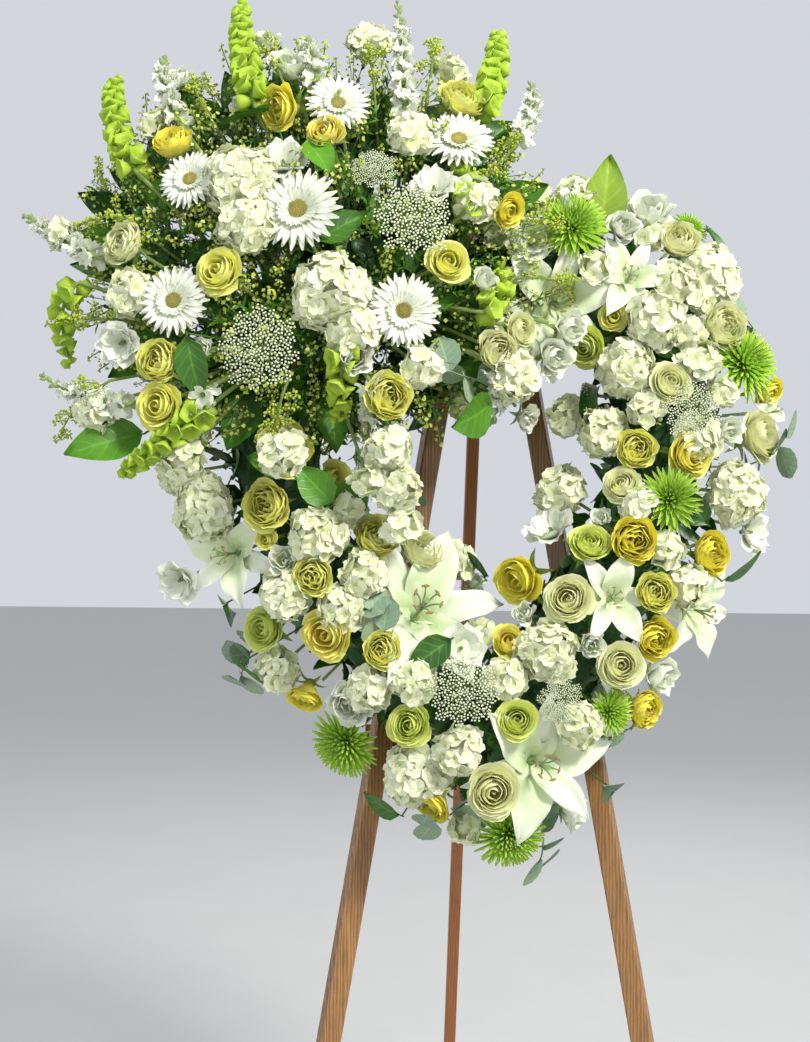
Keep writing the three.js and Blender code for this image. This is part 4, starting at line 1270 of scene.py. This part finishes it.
class WREATH_OT_spikes(bpy.types.Operator):
    """Make the snapdragons and the bells of Ireland that stand out of the spray"""
    bl_idname = "wreath.spikes"
    bl_label = "Snapdragons and bells"

    def execute(self, context):
        sizes = context.scene.wreath_sizes
        look = {"snapdragon": ("petals_white", "white_petal", sizes.snaps),
                "bells": ("bell_cups", "bell_green", sizes.bells)}
        for node, place in SPIKES.items():
            kind = node.split("_")[0]
            finish, slot, count = look[kind]
            reach = math.dist(place[:2], place[2:4])
            form = spike_form(kind, place, round(count * min(1.1, reach / 170)),
                              seed_of(place[0], place[1]))
            make_piece("spike_" + node, make_mesh(node, form), finish, (node,))
        for kind, places in OTHER_SPIKES.items():
            finish, slot, count = look[kind]
            forms = [spike_form(kind, p, round(count * 0.4), seed_of(p[0], p[1])) for p in places]
            make_piece(kind + "_small", make_mesh(kind + "_small", joined(forms)), finish)
        return {"FINISHED"}


NAMED_LEAVES = {
    "leaf_top": ("heart", 158, 372, 98, 54, "leaves_top", (0.1, -0.25, 1)),
    "leaf_left": ("spray", -440, 40, 92, 52, "leaves_bright", (-1, -0.2, -0.35)),
}
LEAF_LOOK = np.array((0.05, -1, 0.15))
COVER_X, COVER_Z = -195, 285
BACKING_LEAVES = 46
PLUME_BRANCHES = 13


def lying(along, look):
    """A turn for a leaf that points along, with its face towards look as far as that allows."""
    face = unit(look - along * (look @ along))
    return np.column_stack((along, np.cross(face, along), face))


def named_leaf(where, x, z, size, width, point):
    """A large leaf that points where it is told, on its stalk."""
    head, root = stand(where, x, z)
    along = unit(np.array(point, float))
    foot = head - along * size / 2
    leaf = simple_leaf(size, width, 34, 0.3, 12, 9).placed(lying(along, LEAF_LOOK), foot, tint=0.7)
    return joined([leaf, tube([foot - along * 5, (foot + root) / 2, root], 1.4, 6, tint=0.6)])


def leaf_between(where, x, z, size, width, tint):
    """A leaf that lies over the flowers round it, its foot at the foam."""
    rng = seed_of(x, z)
    head, root = stand(where, x, z)
    spin = rng.uniform(0, ROUND)
    turn = facing(unit(unit(head - root) + 0.35 * rng.uniform(-1, 1, 3)), spin)
    leaf = simple_leaf(size, width, rng.uniform(15, 50), rng.uniform(0.15, 0.35), tint=tint)
    foot = head - turn[:, 0] * size / 2
    stalk = tube([foot - turn[:, 0] * 4, (foot + root) / 2, root], 1.1, 4, tint=tint)
    return joined([leaf.placed(turn, foot, tint=tint), stalk])


def backing_leaf(k):
    """One of the large leaves at the back of the spray, which stand out all round it."""
    rng = np.random.default_rng(300 + k)
    a = math.radians(k * 137.5)
    reach = rng.uniform(150, 235)
    along = unit(np.array((math.cos(a), -rng.uniform(-0.1, 0.5), math.sin(a))))
    foot = np.array((COVER_X + reach * math.cos(a), -rng.uniform(95, 150),
                     COVER_Z + 0.8 * reach * math.sin(a)))
    turn = lying(along, np.array((0, -1.0, 0)) + rng.uniform(-0.5, 0.5, 3))
    root = on_spray(foot[0], foot[2])[1]
    leaf = simple_leaf(rng.uniform(62, 95), rng.uniform(34, 50), 36, 0.3)
    stalk = tube([foot - along * 5, (foot + root) / 2 + (0, 12, 0), root], 1.3, 4, tint=0.3)
    return joined([leaf.placed(turn, foot, tint=rng.uniform(0, 0.7)), stalk])


def eucalyptus_twig(where, x, z):
    """A thin twig that bends out between the flowers, with five round leaves."""
    rng = seed_of(x, z)
    head, root = stand(where, x, z, -10)
    axis = unit(head - root)
    reach = facing(axis, rng.uniform(0, ROUND))[:, 0]
    path = bent(root + axis * 30, head, head + reach * 55 + axis * 12, 7)
    forms = [tube(path, np.linspace(1.6, 0.8, 7), 4, tint=0.4)]
    for k in range(5):
        t = 0.45 + 0.55 * k / 4
        place = np.array([np.interp(t, np.linspace(0, 1, 7), path[:, j]) for j in range(3)])
        turn = facing(unit(axis + rng.uniform(-0.6, 0.6, 3)), k * 2.6 + rng.uniform(-0.4, 0.4))
        size = rng.uniform(30, 42)
        leaf = simple_leaf(size, size * 0.9, 20, 0.12, 6, 5, False)
        forms.append(leaf.placed(turn, place, tint=rng.uniform(0.2, 0.9)))
    return joined(forms)


def plume(place):
    """A goldenrod plume: skins that carry its buds, and its stalk with the branches."""
    root, path = spike_path(*place)
    rng = seed_of(place[0], place[1])
    line = np.vstack((root + (path[0] - root) * 0.2, path))
    skins, stalks = [], [tube(line, np.linspace(1.8, 0.6, len(line)), 4, tint=0.5)]
    for k in range(PLUME_BRANCHES):
        t = 0.15 + 0.85 * k / (PLUME_BRANCHES - 1)
        foot = path[int(t * (len(path) - 1))]
        out = unit(rng.normal(0, 1, 3) + 0.8 * unit(path[-1] - path[0]))
        tip = foot + out * rng.uniform(18, 34) * (1.2 - 0.6 * t)
        branch = bent(foot, (foot + tip) / 2 + (0, 0, 3), tip, 4)
        stalks.append(tube(branch, 0.6, 4, tint=0.5))
        skins.append(tube(branch, np.array((0.8, 2.6, 3.0, 1.2)), 6))
    return skins, stalks


def goldenrod():
    plumes = [plume(place) for place in PLUMES]
    skins = joined([skin for skins, _ in plumes for skin in skins])
    stalks = joined([stalk for _, stalks in plumes for stalk in stalks])
    bud = turned(((0.5, -0.6), (1.7, 0.6), (1.5, 2.2), (0.4, 3.4)), 4, kind=0, layer=0.6)
    buds = scattered("plumes", skins, bud, 2.6, 0.7, 1.2, 0.5, 4, "plume_buds")
    return merged("goldenrod", [buds, make_mesh("plume_stalks", stalks)])


def fern_sprig():
    """An upright stalk with nine short blades set round it."""
    forms = [blade(lambda s: 50 + 25 * s, 15, lambda s: 2.0 * np.sin(math.pi * (0.15 + 0.8 * s)),
                   k * GOLDEN,
                   (0.5, 10 + 5.2 * k), rows=3, columns=3, thickness=0.4, kind=1) for k in range(9)]
    return joined(forms + [tube([(0, 0, -30), (0, 0, 58)], 0.7, 4, kind=1)])


def bud_spray():
    """An upright stalk with fourteen buds, which stand closer to it towards its tip."""
    bud, forms = turned(((0.8, 0), (2.6, 2.0)), 4, kind=0, layer=0.6), []
    for k in range(14):
        out = np.array((math.cos(k * GOLDEN), math.sin(k * GOLDEN), 0))
        forms.append(bud.placed(facing(unit(out + (0, 0, 0.8))),
                                out * (8.5 - 0.55 * k) + (0, 0, 14 + 3.6 * k)))
    return joined(forms + [tube([(0, 0, -30), (0, 0, 62)], 0.7, 4, kind=1)])


class WREATH_OT_greenery(bpy.types.Operator):
    """Make the leaves, the eucalyptus, the plumes and the foliage that hides the foam"""
    bl_idname = "wreath.greenery"
    bl_label = "Greenery"

    def execute(self, context):
        spacing = context.scene.wreath_sizes.foliage
        for node, (where, x, z, size, width, finish, point) in NAMED_LEAVES.items():
            mesh = make_mesh(node, named_leaf(where, x, z, size, width, point))
            make_piece("greenery_" + node, mesh, finish, (node,))
        between = make_mesh("leaves_between", joined([leaf_between(*row) for row in LEAVES]))
        make_piece("leaves_between", between, "leaves_bright")
        twigs = make_mesh("eucalyptus", joined([eucalyptus_twig(*row) for row in EUCALYPTUS]))
        make_piece("eucalyptus", twigs, "leaves_eucalyptus")
        make_piece("goldenrod", goldenrod(), "plume_buds")
        ring = scattered("foliage_ring", band_surface(), simple_leaf(34, 17, 40, 0.3, 5, 3),
                         spacing * 1000, 0.7, 1.3, 0.9, 9, "leaves_dark")
        make_piece("foliage_ring", ring, "leaves_dark")
        ferns = scattered("ferns", spray_surface(262, 118), fern_sprig(), 21, 0.6, 1.0, 0.5, 21,
                          "leaves_bright")
        make_piece("ferns", ferns, "leaves_bright")
        fluff = scattered("fluff", spray_surface(275, 125), bud_spray(), 19, 0.7, 1.2, 0.6, 23,
                          "plume_buds")
        make_piece("fluff", fluff, "plume_buds")
        backing = make_mesh("leaves_spray", joined([backing_leaf(k) for k in range(BACKING_LEAVES)]))
        make_piece("leaves_spray", backing, "leaves_bright")
        cover = scattered("foliage_spray", spray_surface(250, 105, 95), simple_leaf(46, 22, 40, 0.3, 5, 3),
                          spacing * 1200, 0.7, 1.3, 0.9, 11, "leaves_dark")
        make_piece("foliage_spray", cover, "leaves_dark")
        return {"FINISHED"}


def band_surface(width=66, back=24, front=112, sides=10):
    """A closed skin round the heart of foam: points on a section, carried along the centreline."""
    line = LINE[::2]
    after, before = np.roll(line, -1, axis=0), np.roll(line, 1, axis=0)
    along = after - before
    along /= np.linalg.norm(along, axis=1, keepdims=True)
    outward = np.stack((-along[:, 1], along[:, 0]), -1)
    angle = np.linspace(0, 2 * math.pi, sides, endpoint=False)
    points = []
    for (x, z), (ox, oz) in zip(line, outward):
        for a in angle:
            side, depth = width * math.cos(a), (back + front) / 2 + (front - back) / 2 * math.sin(a)
            points.append((x + ox * side, -depth, z + oz * side))
    index = np.arange(len(line) * sides).reshape(len(line), sides)
    ahead = np.roll(index, -1, axis=0)
    faces = np.stack((index, ahead, np.roll(ahead, -1, axis=1), np.roll(index, -1, axis=1)),
                     -1).reshape(-1, 4)
    return Form(np.array(points, float), faces, np.full((len(points), 5), 0.5))


def spray_surface(reach, tall, edge=72):
    """A low dome over the spray's foam, as a skin for foliage."""
    skin = dome(2, 1.0, 24, 8, edge)
    points = skin.points * (reach, reach * 0.84, tall)
    set_over = np.stack((points[:, 0] + COVER_X, -points[:, 2] - 88, points[:, 1] + COVER_Z), -1)
    return Form(set_over, skin.faces, skin.values)


LENS, SENSOR = 60.46, 36
EYE = (-0.0851, -2.359, 1.1774)
EYE_SIDE, EYE_HEIGHT, EYE_ROLL = -2.5, 3, 0.8


class WREATH_OT_stage(bpy.types.Operator):
    """Make the floor, the soft light and the camera"""
    bl_idname = "wreath.stage"
    bl_label = "Stage"

    def execute(self, context):
        scene = context.scene
        scene.view_settings.view_transform = "Standard"
        mesh = bpy.data.meshes.new("floor")
        mesh.from_pydata([(-9, -9, 0), (9, -9, 0), (9, 9, 0), (-9, 9, 0)], [], [(0, 1, 2, 3)])
        floor = bpy.data.objects.new("floor", mesh)
        scene.collection.objects.link(floor)
        plain_finish("floor_pale", (0.5, 0.5, 0.49), (0.54, 0.54, 0.53), 6.0, 0.8, relief=0.02)
        mesh.materials.append(bpy.data.materials["floor_pale"])
        world = bpy.data.worlds.new("studio")
        world.use_nodes = True
        world.node_tree.nodes["Background"].inputs["Color"].default_value = (0.9, 0.94, 1.0, 1)
        world.node_tree.nodes["Background"].inputs["Strength"].default_value = 0.72
        scene.world = world
        for name, place, aim, size, power, tone in (
            ("key", (1.7, -2.5, 3.3), (0.1, -0.2, 1.1), 0.7, 160, (1, 0.98, 0.92)),
            ("fill", (-2.6, -2.4, 1.8), (0.1, -0.2, 1.0), 2.2, 26, (0.92, 0.96, 1)),
            ("rim", (0.8, 2.6, 2.6), (0.1, 0, 1.1), 1.6, 34, (1, 1, 1)),
        ):
            lamp = bpy.data.lights.new(name, "AREA")
            lamp.energy, lamp.color, lamp.size = power, tone, size
            light = bpy.data.objects.new(name, lamp)
            light.location = place
            light.rotation_euler = (Vector(aim) - Vector(place)).to_track_quat("-Z", "Y").to_euler()
            scene.collection.objects.link(light)
        camera = bpy.data.cameras.new("camera")
        camera.lens, camera.sensor_width, camera.sensor_fit = LENS, SENSOR, "AUTO"
        eye = bpy.data.objects.new("camera", camera)
        side, height, roll = (math.radians(angle) for angle in (EYE_SIDE, EYE_HEIGHT, EYE_ROLL))
        back = np.array((math.sin(side) * math.cos(height), -math.cos(side) * math.cos(height),
                         math.sin(height)))
        right = np.array((math.cos(side), math.sin(side), 0))
        upward = np.cross(back, right)
        c, s = math.cos(roll), math.sin(roll)
        right, upward = right * c + upward * s, upward * c - right * s
        pose = Matrix(np.column_stack((right, upward, back)).tolist()).to_4x4()
        pose.translation = EYE
        eye.matrix_world = pose
        scene.collection.objects.link(eye)
        scene.camera = eye
        return {"FINISHED"}


class WREATH_PT_panel(bpy.types.Panel):
    """Lists the wreath's sizes, its colours and the pieces to make"""
    bl_idname = "WREATH_PT_panel"
    bl_label = "Heart wreath"
    bl_space_type = "VIEW_3D"
    bl_region_type = "UI"
    bl_category = "Wreath"

    def draw(self, context):
        for group in (context.scene.wreath_sizes, context.scene.wreath_colours):
            for name in group.__annotations__:
                self.layout.prop(group, name)
        for operator in OPERATORS:
            self.layout.operator(operator.bl_idname)


OPERATORS = (WREATH_OT_finishes, WREATH_OT_easel, WREATH_OT_roses, WREATH_OT_lilies, WREATH_OT_daisies,
             WREATH_OT_hydrangeas, WREATH_OT_lace, WREATH_OT_spikes, WREATH_OT_greenery, WREATH_OT_stage)
CLASSES = (WREATH_PG_colours, WREATH_PG_sizes, *OPERATORS, WREATH_PT_panel)


def register():
    for cls in CLASSES:
        bpy.utils.register_class(cls)
    bpy.types.Scene.wreath_colours = PointerProperty(type=WREATH_PG_colours)
    bpy.types.Scene.wreath_sizes = PointerProperty(type=WREATH_PG_sizes)


def unregister():
    del bpy.types.Scene.wreath_sizes
    del bpy.types.Scene.wreath_colours
    for cls in reversed(CLASSES):
        bpy.utils.unregister_class(cls)


def main():
    register()
    for operator in OPERATORS:
        family, name = operator.bl_idname.split(".")
        getattr(getattr(bpy.ops, family), name)()


if __name__ == "__main__":
    main()
